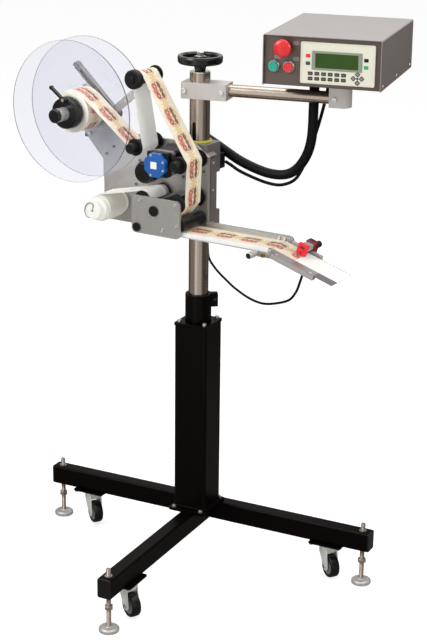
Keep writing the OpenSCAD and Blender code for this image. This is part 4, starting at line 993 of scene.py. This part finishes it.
def makeFoot(i):
    f = {"pad": 25.0, "stud": 6.0, "top": 166.0, "pitch": 1.75}
    name, on, r, top = castorPlan["names"][i], stood(*feetAt[i]), f["pad"], f["top"]
    pad = turned([(12, 0), (r - 0.8, 0), (r, 1.2), (r, 8), (r - 4, 11.2), (10, 12.2), (9, 14), (4, 14)],
                 [0, 0.5, 0.8, 2.5, 4, 1.2, 0.8, 0], 4, 56)
    parts = on(padSteel, pad) + on(studSteel, thread(f["stud"], 13, top - 2, f["pitch"], 0.9, 18),
                                   drum(5.2, top - 3, top, 0.8, 18), nutShape(19, 58, 68))
    piece("levelFoot_" + name, parts, "foot_" + name, "zinc", "foot_" + name)


for i in range(3):
    makeCastor(i)
    makeFoot(i)
print("castors and feet built")

# labelling head: places in u and z, as in the part's source
headPlan = {"hub": (-285, 284), "pivot": (-232, 267), "dancer": (-90, 386), "tail": (-350, 376), "low": (-93, 221),
            "up": (33, 193), "mid": (29, 97), "guide": (34, 47), "drive": (-31, 75), "nip": (-72, 97),
            "bar": (-80, 29), "mandrel": (-203, 53), "knob": (-108, 144), "motor": (-24, 189), "post": (-7.5, 30),
            "pin": (278, 9.5), "thumb": (248, 14.5)}
# radii that the sheets run on, and the rollers' bore and flange
rollerR = {"hub": 52.0, "low": 16.0, "dancer": 16.0, "up": 16.0, "mid": 16.0, "guide": 17.0, "nip": 18.3096,
           "bar": 12.0, "pin": 4.0, "mandrel": 33.0, "bore": 5.05, "flange": 21.0}
onBoard = fitted(onHead)
facing = fitted(atN())


def turnedAt(u, z):  # parts turned about an axis of the head
    return fitted(atN(u, z))


def onAxis(key):
    return turnedAt(*headPlan[key])


def makePlates():
    p = {"n": (35, 45), "frontN": (147, 155), "front": (-96, 14, 42, 107), "screws": (
        (-221, 189), (-243, 168), (-156, 102), (-145, 163), (-17, 139), (-60, 215), (42, 160), (-235, 18),
        (-120, 14), (36, 14))}
    outline = soften([(-254, 0), (53, 0), (53, 196), (10, 227), (-165, 227), (-175, 238), (-312, 342), (-341, 250),
                      (-254, 153)], [3, 3, 4, 4, 6, 6, 8, 8, 6], 4, True)
    parts = facing(plateSteel, prism(outline, *p["n"], 0.8)) + turnedAt(-293, 215)(screwZinc, nutShape(9, 44.8, 50))
    for spot in p["screws"]:
        parts += turnedAt(*spot)(housingSteel, capScrew(4.0, 44.5, 47.2))
    parts += onBoard(blackMould, brick(-311, -297, 37, 43, 203, 213, 1.5))
    piece("mainPlate", parts, "head", "steel", "head_plate")
    small = prism(roundRect(*p["front"], 12, 7), *p["frontN"], 0.9)
    piece("frontPlate", facing(frontSteel, small), "head", "steel", "front_plate")


def makeCarriage():
    c = {"u": 53.0, "n0": 4.0, "n1": 35.0, "bore": 25.1, "clear": 29.0, "block": (42.0, 31.0, 30.0), "top": 222.0,
         "nut": (165.0, 200.0)}
    u, n0, n1, top = c["u"], c["n0"], c["n1"], c["top"]
    wall = lambda *v: brick(*v, 1.0)

    def block(z0, z1):  # square outline and round bore paired by angle, joined top and bottom
        side, front, rear = c["block"]
        d = ringAt(1.0, np.linspace(0, fullTurn, 96, endpoint=False))
        reach = np.maximum(np.abs(d), 1e-9)
        far = np.minimum(side / reach[:, 0], np.where(d[:, 1] > 0, front, rear) / reach[:, 1])
        outer, inner = d * far[:, None], d * c["bore"]
        drawn = outer * 0.985
        rows = ((inner, z0), (drawn, z0), (outer, z0 + 0.8), (outer, z1 - 0.8), (drawn, z1), (inner, z1))
        return skin([atLevel(*row) for row in rows], loop=True)

    # floor round the pole: its rear edge is notched by an arc
    start = math.asin(n0 / c["clear"])
    notch = ringAt(c["clear"], np.linspace(start, np.pi - start, 25))[::-1]
    floor = np.concatenate([[(u, n0), (u, n1), (-u, n1), (-u, n0)], notch])
    slope = [(26, 212.4), (u, 196), (u, 190), (26, 206.4)]
    brow = soften([(-u, 195), (u, 195), (10, top), (-u, top)], [0, 0, 3, 3], 3, True)
    seal = turned([(26, 222), (31, 222), (31, 226), (29.5, 227), (26, 227)], [0, 0.3, 0.6, 0.6, 0], 3, 64, True)
    parts = onBoard(housingSteel, wall(-u, -48, n0, n1, 0, top), wall(48, u, n0, n1, 0, 196),
                    wall(-u, u, 31, n1, 0, 195), prism(floor, 0, 5, 0.5), block(7, 52), block(147, top))
    parts += facing(housingSteel, prism(slope, n0, n1, 0.6), prism(brow, 26, n1, 0.8)) + onBoard(yellowSeal, seal)
    parts += onBoard(bronze, collar(8.1, 21, *c["nut"], 0.5), brick(-4.9, 4.9, 12, 28, *c["nut"], 0.3))
    for z in (22, 38, 165, 200):
        for x in (-30, 30):
            rear = fitted(lambda p: onHead(np.stack([x + p[:, 0], -p[:, 2], z + p[:, 1]], -1)))
            parts += rear(screwZinc, capScrew(4, 29.5, 33))
    for z in (30, 110, 178):
        beside = fitted(lambda p: onHead(np.stack([p[:, 2], 20 + p[:, 0], z + p[:, 1]], -1)))
        parts += beside(screwZinc, domeHead(3.5, 52.8, 54.6))
    piece("slideCarriage", parts, "head", "housing", "head_carriage")
    boxes = ((-42, -22, -48, -30, 196, 221), (20, 42, -52, -30, 152, 190), (-14, 6, -48, -30, 10, 30),
             (-48, -28, -62, -48, 200, 236))
    # sleeve in line with the hose's first stretch
    begin, after = np.array(cordPlan["supplyHose"]["route"][:2], float)
    ahead = (after - begin) / np.linalg.norm(after - begin)
    sleeve = begin - ahead * np.linspace(24.3, 0.4, 9)[:, None]
    parts = onBoard(blackMould, *[brick(*v, 1.5) for v in boxes])
    parts += standing(blackMould, sweep(sleeve, [13, 14.6, 15, 15, 13.6, 15, 15, 14.6, 13.2], 28))
    piece("cordGlands", parts, "head", "black_plastic", "cable_glands")


def makeShafts():
    rod = lambda r, n0, n1, edge=0.6: drum(r, n0, n1, edge, 28)
    screw, foot = capScrew(4.5, 155, 158), rod(8, 45, 49.7)
    grip = turned([(5, 147), (13, 147), (13, 164.5), (11, 167), (9, 167), (8, 165.8), (2, 165.8)],
                  [0, 0.5, 1.5, 1, 0.5, 0.5, 0], 3, 48)
    parts = onAxis("bar")(blackMould, rod(rollerR["bar"], 45, 147), rod(11, 155, 159, 1.4))
    parts += onAxis("post")(screwZinc, rod(6, 45, 147), screw)
    parts += onAxis("pivot")(screwZinc, collar(6.3, 11, 44.8, 46.6, 0.5, 32))
    for key in ("low", "up"):
        parts += onAxis(key)(screwZinc, rod(5, 45, 148), foot) + onAxis(key)(blackMould, rod(7.5, 145.3, 147.2), grip)
    for key in ("mid", "guide", "nip"):
        parts += onAxis(key)(screwZinc, rod(5, 45, 147), foot, screw)
    piece("rollerShafts", parts, "head", "steel", "roller_shafts")


def makeMotor():
    m = {"half": 30.0, "rear": (45, 66), "front": (132, 150), "fins": 11, "brightFrom": 110, "cap": 30.0, "lobe": 1.7,
         "lobes": 8, "lobeTurn": 22.5, "screwR": 26.0}
    at = onAxis("motor")
    square = lambda half, r: roundRect(-half, -half, half, half, r, 5)
    shield, sheet = square(m["half"], 5), square(m["half"] - 0.9, 8)
    parts = at(blackMould, prism(shield, *m["rear"], 1.0), prism(shield, *m["front"], 1.0))
    # stacked sheets between the two end shields
    for n in np.linspace(m["rear"][1], m["front"][0], m["fins"], endpoint=False):
        parts += at(darkSteel if n > m["brightFrom"] else blackMould, prism(sheet, n + 0.2, n + 5.9, 0.5, 1))
    piece("feedMotor", parts, "head", "black_plastic", "feed_motor")
    # lobed cap: its radius follows a clipped cosine
    th = np.linspace(0, fullTurn, 160, endpoint=False)
    wave = np.cos(m["lobes"] * (th - math.radians(m["lobeTurn"])))
    face = ringAt(m["cap"] + m["lobe"] * np.clip(wave, -0.6, 0.75), th)
    parts = at(blueMould, prism(face, 150, 163.4, 1.6, 4), drum(22, 162, 164.6, 1.2, 56))
    parts += at(whiteMould, prism(roundRect(-10, -8, 7, 9, 0.8, 2), 164.4, 164.9, 0.1))
    for k in (0, 2, 5, 7):
        spot = ringAt(m["screwR"], math.radians(m["lobeTurn"] + 45 * k)) + headPlan["motor"]
        parts += turnedAt(*spot)(screwZinc, capScrew(3.0, 163, 165))
    piece("motorCap", parts, "head", "blue_cap", "motor_cap", 30)


def makeTable():
    t = {"z": (19.1, 29.1), "u": (4.0, 279.0), "railFrom": 57.0}
    slab = lambda *v: brick(*v, 0.8)
    rod = lambda u, z, n0, n1, r: turnedAt(u, z)(screwZinc, drum(r, n0, n1, 0.5, 28))

    def rail(n0, n1, u1, z0, z1, r):  # bar whose upper end corner is rounded by r
        u0 = t["railFrom"]
        return prism(soften([(u0, z0), (u1, z0), (u1, z1), (u0, z1)], [1, 1, r, 1], 5, True), n0, n1, 0.8)

    # slab with a bright front lip, grooved rail behind it, hinge lugs and pins
    parts = onBoard(plateSteel, slab(*t["u"], 60, 136.6, *t["z"]), slab(-10, 57, 45, 60, 6, 18),
                    slab(270, 284, 60, 63.7, 4.5, 19.1), slab(238, 284, 138.3, 142, 4.5, 19.3),
                    slab(277, 284, 76, 128, 19.6, 28.4), slab(277, 289, 56, 62, 19.1, 29.0))
    parts += onBoard(lipSteel, slab(*t["u"], 136.2, 142, *t["z"]))
    parts += facing(plateSteel, rail(45, 50, 296, 12, 38, 12), rail(55, 60, 296, 12, 38, 12),
                    rail(49, 56, 190, 30, 38, 1))
    parts += facing(lipSteel, rail(49, 56, 294, 12, 34, 8))
    parts += rod(*place["hinge"], 76, 128, 4.5) + rod(*place["hinge"], 60, 146, 3)
    parts += rod(*headPlan["pin"], 60, 142, rollerR["pin"]) + turnedAt(266, 10.0)(bronze, capScrew(5.5, 141.6, 145.8))
    for u in (262, 277):
        parts += turnedAt(u, 33)(screwZinc, capScrew(4.2, 59.6, 63))
    piece("labelTable", parts, "head", "steel", "label_table")


makePlates()
makeCarriage()
makeShafts()
makeMotor()
makeTable()
print("head plates, carriage, motor and table built")


def barOutline(a, b, w, r0, r1):  # straight bar with a round boss at each end
    a, b = np.asarray(a, float), np.asarray(b, float)
    d = b - a
    g0, g1 = math.asin(min(1, w / 2 / r0)), math.asin(min(1, w / 2 / r1))
    near = ringAt(r0, np.linspace(g0, fullTurn - g0, 20))
    far = ringAt(r1, np.linspace(-np.pi + g1, np.pi - g1, 20)) + [np.linalg.norm(d), 0.0]
    return np.stack(turnBy(*np.concatenate([near, far]).T, math.degrees(math.atan2(d[1], d[0]))), -1) + a


def makeDancer():
    h, bore, flange = headPlan, rollerR["bore"], rollerR["flange"]
    d = {"arm": (47, 53), "tail": (10, 24), "railOff": 5.5, "loopR": 7.0}
    tail = np.array(h["tail"], float) - h["pivot"]
    side = np.array([-tail[1], tail[0]]) / np.linalg.norm(tail) * d["railOff"]
    along = lambda k: np.array(h["pivot"]) + k * tail
    bar = lambda a, b, w, r0, r1, edge=0.7: prism(barOutline(along(a), along(b), w, r0, r1), *d["tail"], edge)
    rail = prism(barOutline(along(0.15), along(0.97), 5, 2.5, 2.5), *d["tail"], 0.6)
    beside = lambda off: fitted(lambda p: atN()(p + [*off, 0.0]))
    onPivot, onRoller = onAxis("pivot"), onAxis("dancer")
    # one shaft through the plate; behind it the slotted tail, two deep rails with closed ends and a bent wire
    parts = facing(plateSteel, prism(barOutline(h["pivot"], h["dancer"], 19, 17, 11), *d["arm"], 0.7))
    parts += onPivot(screwZinc, drum(6, 10, 57, 0.4, 28), capScrew(10, 52.6, 57))
    parts += facing(darkSteel, bar(0, 0.21, 16, 14, 8), bar(0.93, 1.0, 16, 8, 9))
    parts += beside(-side)(darkSteel, rail) + beside(side)(darkSteel, rail)
    loop = along(1.0) + ringAt(d["loopR"], np.linspace(0.4, 5.0, 9))
    wire = easedPath(np.column_stack([loop[:, 0], np.linspace(22, 27, 9), loop[:, 1]]), 5)
    parts += onBoard(screwZinc, sweep(wire, 1.1, 10)) + onRoller(screwZinc, drum(5, 52, 163, 0.4, 24))
    parts += onRoller(blackMould, drum(8, 160.3, 164, 1.0, 28))
    piece("dancerArm", parts, "dancer", "steel", "dancer_arm")
    knurl = knurled([(bore, 141), (flange, 141), (23, 143), (23, 157), (20, 160), (bore, 160)],
                    [0, 0.5, 1.5, 1.5, 1.0, 0], 4, 96, 24, 0.35, 21.9, True)
    parts = onRoller(blackMould, collar(bore, rollerR["dancer"], 58, 143, 0.4), collar(bore, flange, 56, 60, 1.0),
                     knurl)
    piece("dancerRoller", parts, "dancer_roll", "aluminium", "dancer_roller")


def makeRollers():
    r, bore, flange = rollerR, rollerR["bore"], rollerR["flange"]
    ring = lambda *v: collar(bore, *v)
    cap = turned([(bore, 137), (18, 137), (flange, 141), (flange, 143.4), (19.4, 145), (bore, 145)],
                 [0, 0.5, 1, 1, 0.8, 0], 3, 56, True)
    for key, word in (("low", "lower"), ("up", "upper"), ("mid", "mid")):
        parts = onAxis(key)(blackMould, ring(r[key], 53, 141, 0.4), ring(flange, 50, 54, 1.2), cap)
        piece(word + "Idler", parts, "idler_" + key, "aluminium", word + "_idler")
    parts = onAxis("guide")(tyreRubber, ring(r["guide"], 50, 145, 1.0))
    piece("guideRoller", parts, "guide", "rubber", "guide_roller")
    at, far = onAxis("nip"), r["nip"] + 2
    parts = at(rollerSleeve, ring(r["nip"], 54, 141, 0.4))
    parts += at(blackMould, ring(far, 50, 54, 0.8), ring(far, 141, 145, 0.8))
    piece("nipRoller", parts, "nip", "rubber", "nip_roller")
    at = onAxis("drive")
    ridged = knurled([(8, 64), (26.2, 64), (27, 65), (27, 139), (26.2, 140), (8, 140)], 0.3, 3, 96, 48, 0.25, 26.5)
    parts = at(tyreRubber, ridged) + at(screwZinc, drum(7, 29, 157, 0.5, 28), drum(12, 29, 34.7, 0.8, 32))
    parts += at(blackMould, drum(13, 155.3, 159, 1.2, 40))
    piece("driveRoller", parts, "drive_roll", "rubber", "drive_roller")


def makeReel():
    at = onAxis("hub")
    reel = {"disc": 175.0, "discT": 4.0, "core": 38.0, "stub": 16.55, "firstLabel": 34.7,
            "leverFrom": (4.0, 35.0), "leverTurn": 143.0, "leverRun": 44.0}
    knob = turned([(8, 198), (17, 198), (17, 206), (14.5, 208), (4, 208)], [0, 0.5, 1.5, 1.5, 0], 4, 48)
    parts = at(clampAlloy, drum(18, 27, 34.7, 1.0), drum(18, 57, 60.4, 0.6), drum(37.8, 64.6, 137, 0.8, 64))
    parts += at(screwZinc, drum(12, 27, 66, 0.4)) + at(stubAlloy, drum(16.4, 130, 198, 0.5, 56)) + at(blackGloss, knob)
    piece("unwindHub", parts, "reel", "aluminium", "unwind_hub")
    for word, n, bore, body in (("rear", 60.5, 12.0, "reel"), ("front", 138.0, reel["stub"], "disc_clamp")):
        far, top = reel["disc"] - 0.25, n + reel["discT"]
        sheet = lathe([(bore, n), (far, n), (far, top), (bore, top)], 160, True)
        # the rim band wears the painted shade of the disc edge
        rim = collar(reel["disc"] - 0.6, reel["disc"], n + 0.7, top - 0.7, 0.15, 160)
        piece(word + "Disc", at(clearDisc, sheet) + at(discRim, rim), body, "clear_disc", word + "_disc", 30)
    r, core = rollerR["hub"], reel["core"]
    # outermost turn with its labels laid out along the paper
    band = [(r - 0.8, 68.1), (r, 68.1), (r, 135.9), (r - 0.8, 135.9)]
    verts, faces, wrap = lathe(band, 120, True, swap=True, reach=r)
    parts = at(rollEdge, collar(core, r - 0.3, 68, 136, 0.3, 96))
    parts += at(creamMould, collar(core, core + 3.5, 67.6, 136.4, 0.4, 96))
    parts += at(labelPrint, (verts, faces, wrap - [reel["firstLabel"], 0.0]))
    piece("labelRoll", parts, "reel", "paper", "label_roll")
    ring = turned([(reel["stub"], 142), (37, 142), (39, 143.5), (39, 151), (36.5, 153), (36.5, 156), (38.5, 158),
                   (38.5, 164), (35, 167), (reel["stub"], 167)],
                  [0, 0.5, 1, 1.5, 1.5, 1.5, 1.5, 2, 1.5, 0], 3, 72, True)
    pivot = np.array(headPlan["hub"]) + reel["leverFrom"]
    onPin = turnedAt(*pivot)
    parts = at(blackGloss, ring) + onPin(screwZinc, drum(4, 165, 178.4, 0.5, 24))
    piece("lockCollar", parts, "disc_clamp", "black_plastic", "lock_collar")
    tip = pivot + ringAt(reel["leverRun"], math.radians(reel["leverTurn"]))
    parts = onPin(blackGloss, collar(4.05, 8.5, 167.3, 178, 0.8))
    parts += facing(blackGloss, prism(barOutline(pivot, tip, 8, 8.2, 5.5), 168.6, 177, 2.2, 4))
    piece("clampLever", parts, "lever", "black_plastic", "clamp_lever")


def makeMandrel():
    at = onAxis("mandrel")
    r, far, n0, n1 = 29.0, rollerR["mandrel"], 68.2, 135.8
    body = turned([(10, 52), (28, 52), (r, 54), (r, 147.5), (27.5, 150), (23, 150.5), (23, 153), (21.8, 154.5),
                   (21.8, 160), (23, 161.5), (23, 165), (20.5, 168), (8, 168)],
                  [0, 1, 1, 1.5, 1, 1, 0.5, 0.5, 0.5, 0.5, 1.5, 1.5, 0], 4, 72)
    wound = turned([(r, n0), (far, n0), (far, n1), (r, n1)], 0.4, 2, 72, True)
    # wire clip: from the middle of the end face up to the rim and round it
    clip = np.array([(1, 167, 3), (3, 168.6, 10), (3, 169.4, 17), (-4, 169.6, 20), (-14, 169.6, 16), (-20.5, 169.6, 6),
                     (-21, 169.4, -6), (-16, 169, -16), (-9, 168, -19)])
    u, z = headPlan["mandrel"]
    parts = at(whiteMould, body) + at(linerEdge, wound) + at(screwZinc, drum(6, 27, 52, 0.4), drum(12, 27, 34.7, 0.8))
    parts += at(housingSteel, drum(3.0, 166, 168.4, 0.5, 20))
    parts += onBoard(darkSteel, sweep(easedPath(clip + [u, 0.0, z], 7), 1.2, 10))
    piece("rewindMandrel", parts, "rewind", "white_plastic", "rewind_mandrel")


nosePlan = {"z": (2.0, 4.5), "n": (64.0, 160.0), "tip": (178.75, 3.25), "tipR": 1.25,
            "hinges": ((64, 75.7), (128.3, 142))}


def makeNose():
    n, z, hinges, tipR = (nosePlan[key] for key in ("n", "z", "hinges", "tipR"))
    slab = lambda *v, edge=0.6: brick(*v, edge)
    on, atNose = fitted(onNose), lambda x, z: fitted(atNoseN(x, z))
    parts = on(noseSteel, slab(5.5, 130, *n, *z, edge=0.3)) + on(tipSteel, slab(130, 178.9, *n, *z, edge=0.3))
    parts += atNose(*nosePlan["tip"])(tipSteel, lathe([(0.6, n[0]), (tipR, n[0]), (tipR, n[1]), (0.6, n[1])], 20))
    parts += on(plateSteel, slab(12, 98, 60.6, 64, 2, 13), slab(12, 130, 146, 160, -9.5, 2.2, edge=1.0),
                *[slab(0, 8, *ends, *z) for ends in hinges])
    parts += atNose(0, 0)(plateSteel, *[collar(3.05, 4.5, *ends, 0.4, 28) for ends in hinges])
    for x in (24, 118):
        parts += fitted(lambda p: onNose(p + [x, 153.0, 4.4]))(screwZinc, domeHead(3.0, 0, 1.0))
    piece("nosePlate", parts, "nose", "steel", "nose_plate")
    knob = knurled([(3, 22), (7.2, 22), (8, 23), (8, 36), (6, 38), (6, 44.5), (3, 44.5)],
                   [0, 0.6, 0.6, 1, 1, 0.3, 0], 3, 40, 20, 0.25, 7.9)
    ribs = [slab(48.7, 69.3, n, n + 2.2, 29.4, 30.8, edge=0.4) for n in (70, 76, 82, 88)]
    parts = on(darkRed, slab(46, 72, 44, 60.2, 2.2, 32, edge=1.2), slab(46, 72, 44, 66.5, 13.5, 32, edge=1.2),
               slab(53, 65, 106.6, 107.2, 25, 31, edge=0.2))
    parts += on(clampAlloy, slab(49, 69, 66, 96, 14, 30, edge=1.2)) + on(darkSteel, *ribs)
    parts += on(blackMould, slab(48.6, 69.4, 66.2, 95.8, 13.8, 17.5)) + atNose(62, 18)(blackMould, knob)
    parts += on(sensorRed, slab(46, 72, 95, 107, 8, 36.5, edge=3.0))
    parts += atNose(59, 15)(blackGloss, drum(2.2, 106.5, 107.4, 0.3, 16))
    piece("labelSensor", parts, "sensor", "sensor_red", "label_sensor")


def makeKnobs():
    at = onAxis("knob")
    grip = turned([(6, 52), (25, 52), (28, 55), (28, 80), (24, 88), (4, 88)], [0, 1.5, 2.5, 5, 4, 0], 5, 72)
    parts = at(blackGloss, grip) + at(screwZinc, drum(13, 45.3, 53, 0.6), drum(4, 29, 52, 0.3, 20))
    piece("tensionKnob", parts, "tension", "black_plastic", "tension_knob")
    at = onAxis("thumb")
    thumb = knurled([(3, 142.3), (5, 142.3), (5, 150), (8, 152), (8, 178), (6.5, 180), (2, 180)],
                    [0, 0.5, 1, 1, 1.5, 1, 0], 3, 64, 16, 0.3, 7.9)
    parts = at(clampAlloy, thumb) + at(blackMould, drum(6.2, 178, 180.2, 0.4, 28))
    parts += at(screwZinc, drum(3, 138.6, 143, 0.3, 20))
    piece("thumbKnob", parts, "thumb", "black_plastic", "thumb_knob")


makeDancer()
makeRollers()
makeReel()
makeMandrel()
makeNose()
makeKnobs()
print("rollers, reel, nose and knobs built")

# web and liner: tangents between circles (u, z, radius, side), side 1 with the centre on the left of travel
webPlan = {"t": 0.6, "gap": 0.3, "n0": 68.0, "n1": 136.0, "step": 4.0, "lastLabel": 60.0, "mid": 102.0,
           "bend": (0.45, 0.893), "bendFrom": 205.0, "bendTo": 292.0}


def webPath(circles):
    def bearing(a, b):
        du, dz = b[0] - a[0], b[1] - a[1]
        return math.atan2(dz, du) - math.asin((b[3] * b[2] - a[3] * a[2]) / math.hypot(du, dz))

    def touch(c, th):
        return np.stack([c[0] + c[3] * c[2] * np.sin(th), c[1] - c[3] * c[2] * np.cos(th)], -1)

    ways = [bearing(a, b) for a, b in zip(circles[:-1], circles[1:])]
    out = [touch(circles[0], np.array([ways[0]]))]
    for c, a, b in zip(circles[1:-1], ways[:-1], ways[1:]):
        w = (b - a) % fullTurn if c[3] > 0 else -((a - b) % fullTurn)
        count = max(2, int(abs(math.degrees(w)) / webPlan["step"]) + 1)
        out.append(touch(c, a + np.linspace(0, w, count)))
    out.append(touch(circles[-1], np.array([ways[-1]])))
    return np.concatenate(out)


def fillPath(p, gap=8.0):  # more points on the straight runs, so that a bend spreads evenly
    run = runLength(p)
    s = np.unique(np.round(np.concatenate([run, np.arange(0, run[-1], gap)]), 3))
    keep = np.concatenate([[True], np.diff(s) > 0.05])
    return np.stack([np.interp(s[keep], run, p[:, i]) for i in range(2)], -1)


def makeWebs():
    w = webPlan
    hingeU, hingeZ = place["hinge"]
    wrap = lambda key, side: (*headPlan[key], rollerR[key] + w["gap"] + w["t"] / 2, side)
    onTilt = lambda x, z: np.array(turnBy(x, z, -place["noseTilt"])) + place["hinge"]
    strip = lambda path, side, start=0.0: ribbon(path, w["n0"], w["n1"], w["t"] / 2, side, start)
    spot = lambda u, z: tuple(onHead((u, w["mid"], z)))
    labels = fillPath(webPath([
        wrap("hub", -1), wrap("low", 1), wrap("dancer", -1), wrap("up", -1), wrap("mid", -1), wrap("guide", 1),
        (hingeU, 29.4, 0.0, 1)]))
    parts = onBoard(labelPrint, strip(labels, 1)) + onBoard(linerPaper, strip(labels, -1))
    web = piece("labelWeb", parts, None, "paper", "label_web", 30)
    bend = np.array(w["bend"])
    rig.blend(web, "head", "dancer", spot(*bend * w["bendFrom"]), spot(*bend * w["bendTo"]))
    back = fillPath(webPath([
        (*onTilt(0, 5.1), 0.0, 1), (*onTilt(*nosePlan["tip"]), nosePlan["tipR"] + w["t"], -1), wrap("pin", 1),
        wrap("bar", -1), wrap("nip", 1), wrap("mandrel", 1)]))
    last = int(np.searchsorted(runLength(back), w["lastLabel"]))
    parts = onBoard(linerPaper, strip(back, -1), strip(back[last:], 1))
    parts += onBoard(labelPrint, strip(back[:last + 1], 1, runLength(labels)[-1]))
    liner = piece("backingLiner", parts, None, "liner", "backing_liner", 30)
    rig.blend(liner, "head", "nose", spot(hingeU - 4, hingeZ), spot(hingeU + 8, hingeZ))


makeWebs()
print("web and liner threaded")


def shaderFinish(name, build):  # material whose surface is the shader that build makes
    mat, tree, bsdf = blankFinish(name)
    feed(tree, tree.nodes["Material Output"], {0: build(tree)})
    tree.nodes.remove(bsdf)
    return mat


def staged(name, verts, faces, finish):  # object of the stage, not of the part
    mesh = bpy.data.meshes.new(name)
    mesh.from_pydata(verts, [], faces)
    mesh.materials.append(finish)
    obj = bpy.data.objects.new(name, mesh)
    bpy.context.scene.collection.objects.link(obj)
    return obj


def makeFloor():  # pale floor that keeps a soft shadow
    f = {"reach": 40.0, "low": -0.0005, "seen": 0.5, "glow": 0.72, "bounce": 0.8, "mirrored": (0.22, 0.20, 0.19)}

    def surface(tree):
        seen = node(tree, "LightPath").outputs
        matt = lambda r, g, b: node(tree, "BsdfDiffuse", {"Color": (r, g, b, 1)}).outputs[0]
        dull = {0: seen["Is Glossy Ray"], 1: matt(*(f["bounce"],) * 3), 2: matt(*f["mirrored"])}
        soft = {0: matt(*(f["seen"],) * 3), 1: node(tree, "Emission", {"Strength": f["glow"]}).outputs[0]}
        return node(tree, "MixShader", {0: sums(tree, "MAXIMUM", seen["Is Camera Ray"], seen["Is Transmission Ray"]),
                                        1: node(tree, "MixShader", dull).outputs[0],
                                        2: node(tree, "AddShader", soft).outputs[0]}).outputs[0]

    verts = [(sx * f["reach"], sy * f["reach"], f["low"]) for sx, sy in corners]
    floor = staged("studioFloor", verts, [(0, 1, 3, 2)], shaderFinish("studioFloor", surface))
    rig.stage(floor)


def makeLight():  # white world, dimmer where it only lights, and three soft lamps: spot, aim, size, power
    world = bpy.data.worlds.new("studioWorld")
    bpy.context.scene.world = world
    world.use_nodes = True
    tree = world.node_tree
    seen = node(tree, "LightPath").outputs
    sight = sums(tree, "MAXIMUM", seen["Is Camera Ray"], seen["Is Glossy Ray"])
    sight = sums(tree, "MAXIMUM", sight, seen["Is Transmission Ray"])
    feed(tree, tree.nodes["Background"], {"Strength": spread(tree, sight, 0.0, 1.0, 0.5, 1.0), "Color": (1, 1, 1, 1)})
    for name, spot, aim, size, power in (("keyLamp", (-1.6, -2.6, 3.0), (0, 0, 0.8), 1.8, 70),
                                         ("sideLamp", (3.0, -0.8, 2.0), (0, 0, 0.9), 1.6, 34),
                                         ("topLamp", (0.3, 0.6, 3.4), (0, 0, 0.6), 2.2, 45)):
        data = bpy.data.lights.new(name, "AREA")
        data.energy, data.size = power, size
        lamp = bpy.data.objects.new(name, data)
        bpy.context.scene.collection.objects.link(lamp)
        ahead = np.array(aim, float) - spot
        ahead /= np.linalg.norm(ahead)
        side = np.cross(ahead, [0, 0, 1.0])
        side /= np.linalg.norm(side)
        lamp.matrix_world = stoodAt(side, np.cross(side, ahead), ahead, spot)


def makeWall():  # unseen wall for the metal to mirror
    # brightness by bearing in degrees, 0 straight in front and positive to the right; dim stretches are warmer
    w = {"r": 1.5, "top": 1.5, "steps": 144, "warm": (0.0, 0.10, 0.18), "levels": (
        (-180, 0.10), (-166, 0.42), (-140, 0.42), (-122, 0.12), (-90, 0.14), (-84, 0.34), (-24, 0.36), (-14, 0.95),
        (-10, 1.3), (4, 1.25), (9, 0.78), (50, 0.70), (64, 0.55), (72, 0.11), (118, 0.10), (128, 0.17), (150, 0.14),
        (180, 0.10))}
    degrees = np.linspace(-180, 180, w["steps"] + 1)[:-1]
    level = np.interp(degrees, *np.array(w["levels"], float).T)
    th = np.radians(degrees)
    edge = np.stack([np.sin(th), -np.cos(th)], -1) * w["r"]
    verts, faces, _ = skin([atLevel(edge, h) for h in (0.0, w["top"])], False)

    def surface(tree):
        paint = node(tree, "VertexColor", layer_name="level").outputs[0]
        return node(tree, "Emission", {"Color": paint, "Strength": 1.0}).outputs[0]

    wall = staged("mirrorWall", verts.tolist(), faces, shaderFinish("mirrorWall", surface))
    warm = np.clip(1.12 - level, 0.0, 1.0)[:, None] * w["warm"]
    colours = np.tile(np.column_stack([level[:, None] * (1 - warm), np.ones(len(th))]), (2, 1))
    paint = wall.data.color_attributes.new("level", "FLOAT_COLOR", "POINT")
    paint.data.foreach_set("color", colours.astype(np.float32).ravel())
    wall.visible_camera = wall.visible_diffuse = wall.visible_shadow = wall.visible_transmission = False
    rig.stage(wall)


makeFloor()
makeLight()
makeWall()
bpy.context.scene.view_settings.view_transform = "Standard"
print("stage lit,", sum(len(o.data.polygons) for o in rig.pieces() if o.type == "MESH"), "faces")

with open("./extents.json", "w") as out:
    json.dump({"cad": [list(c) for c in cadBox], "visual": [list(c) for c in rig.bounds()]}, out)
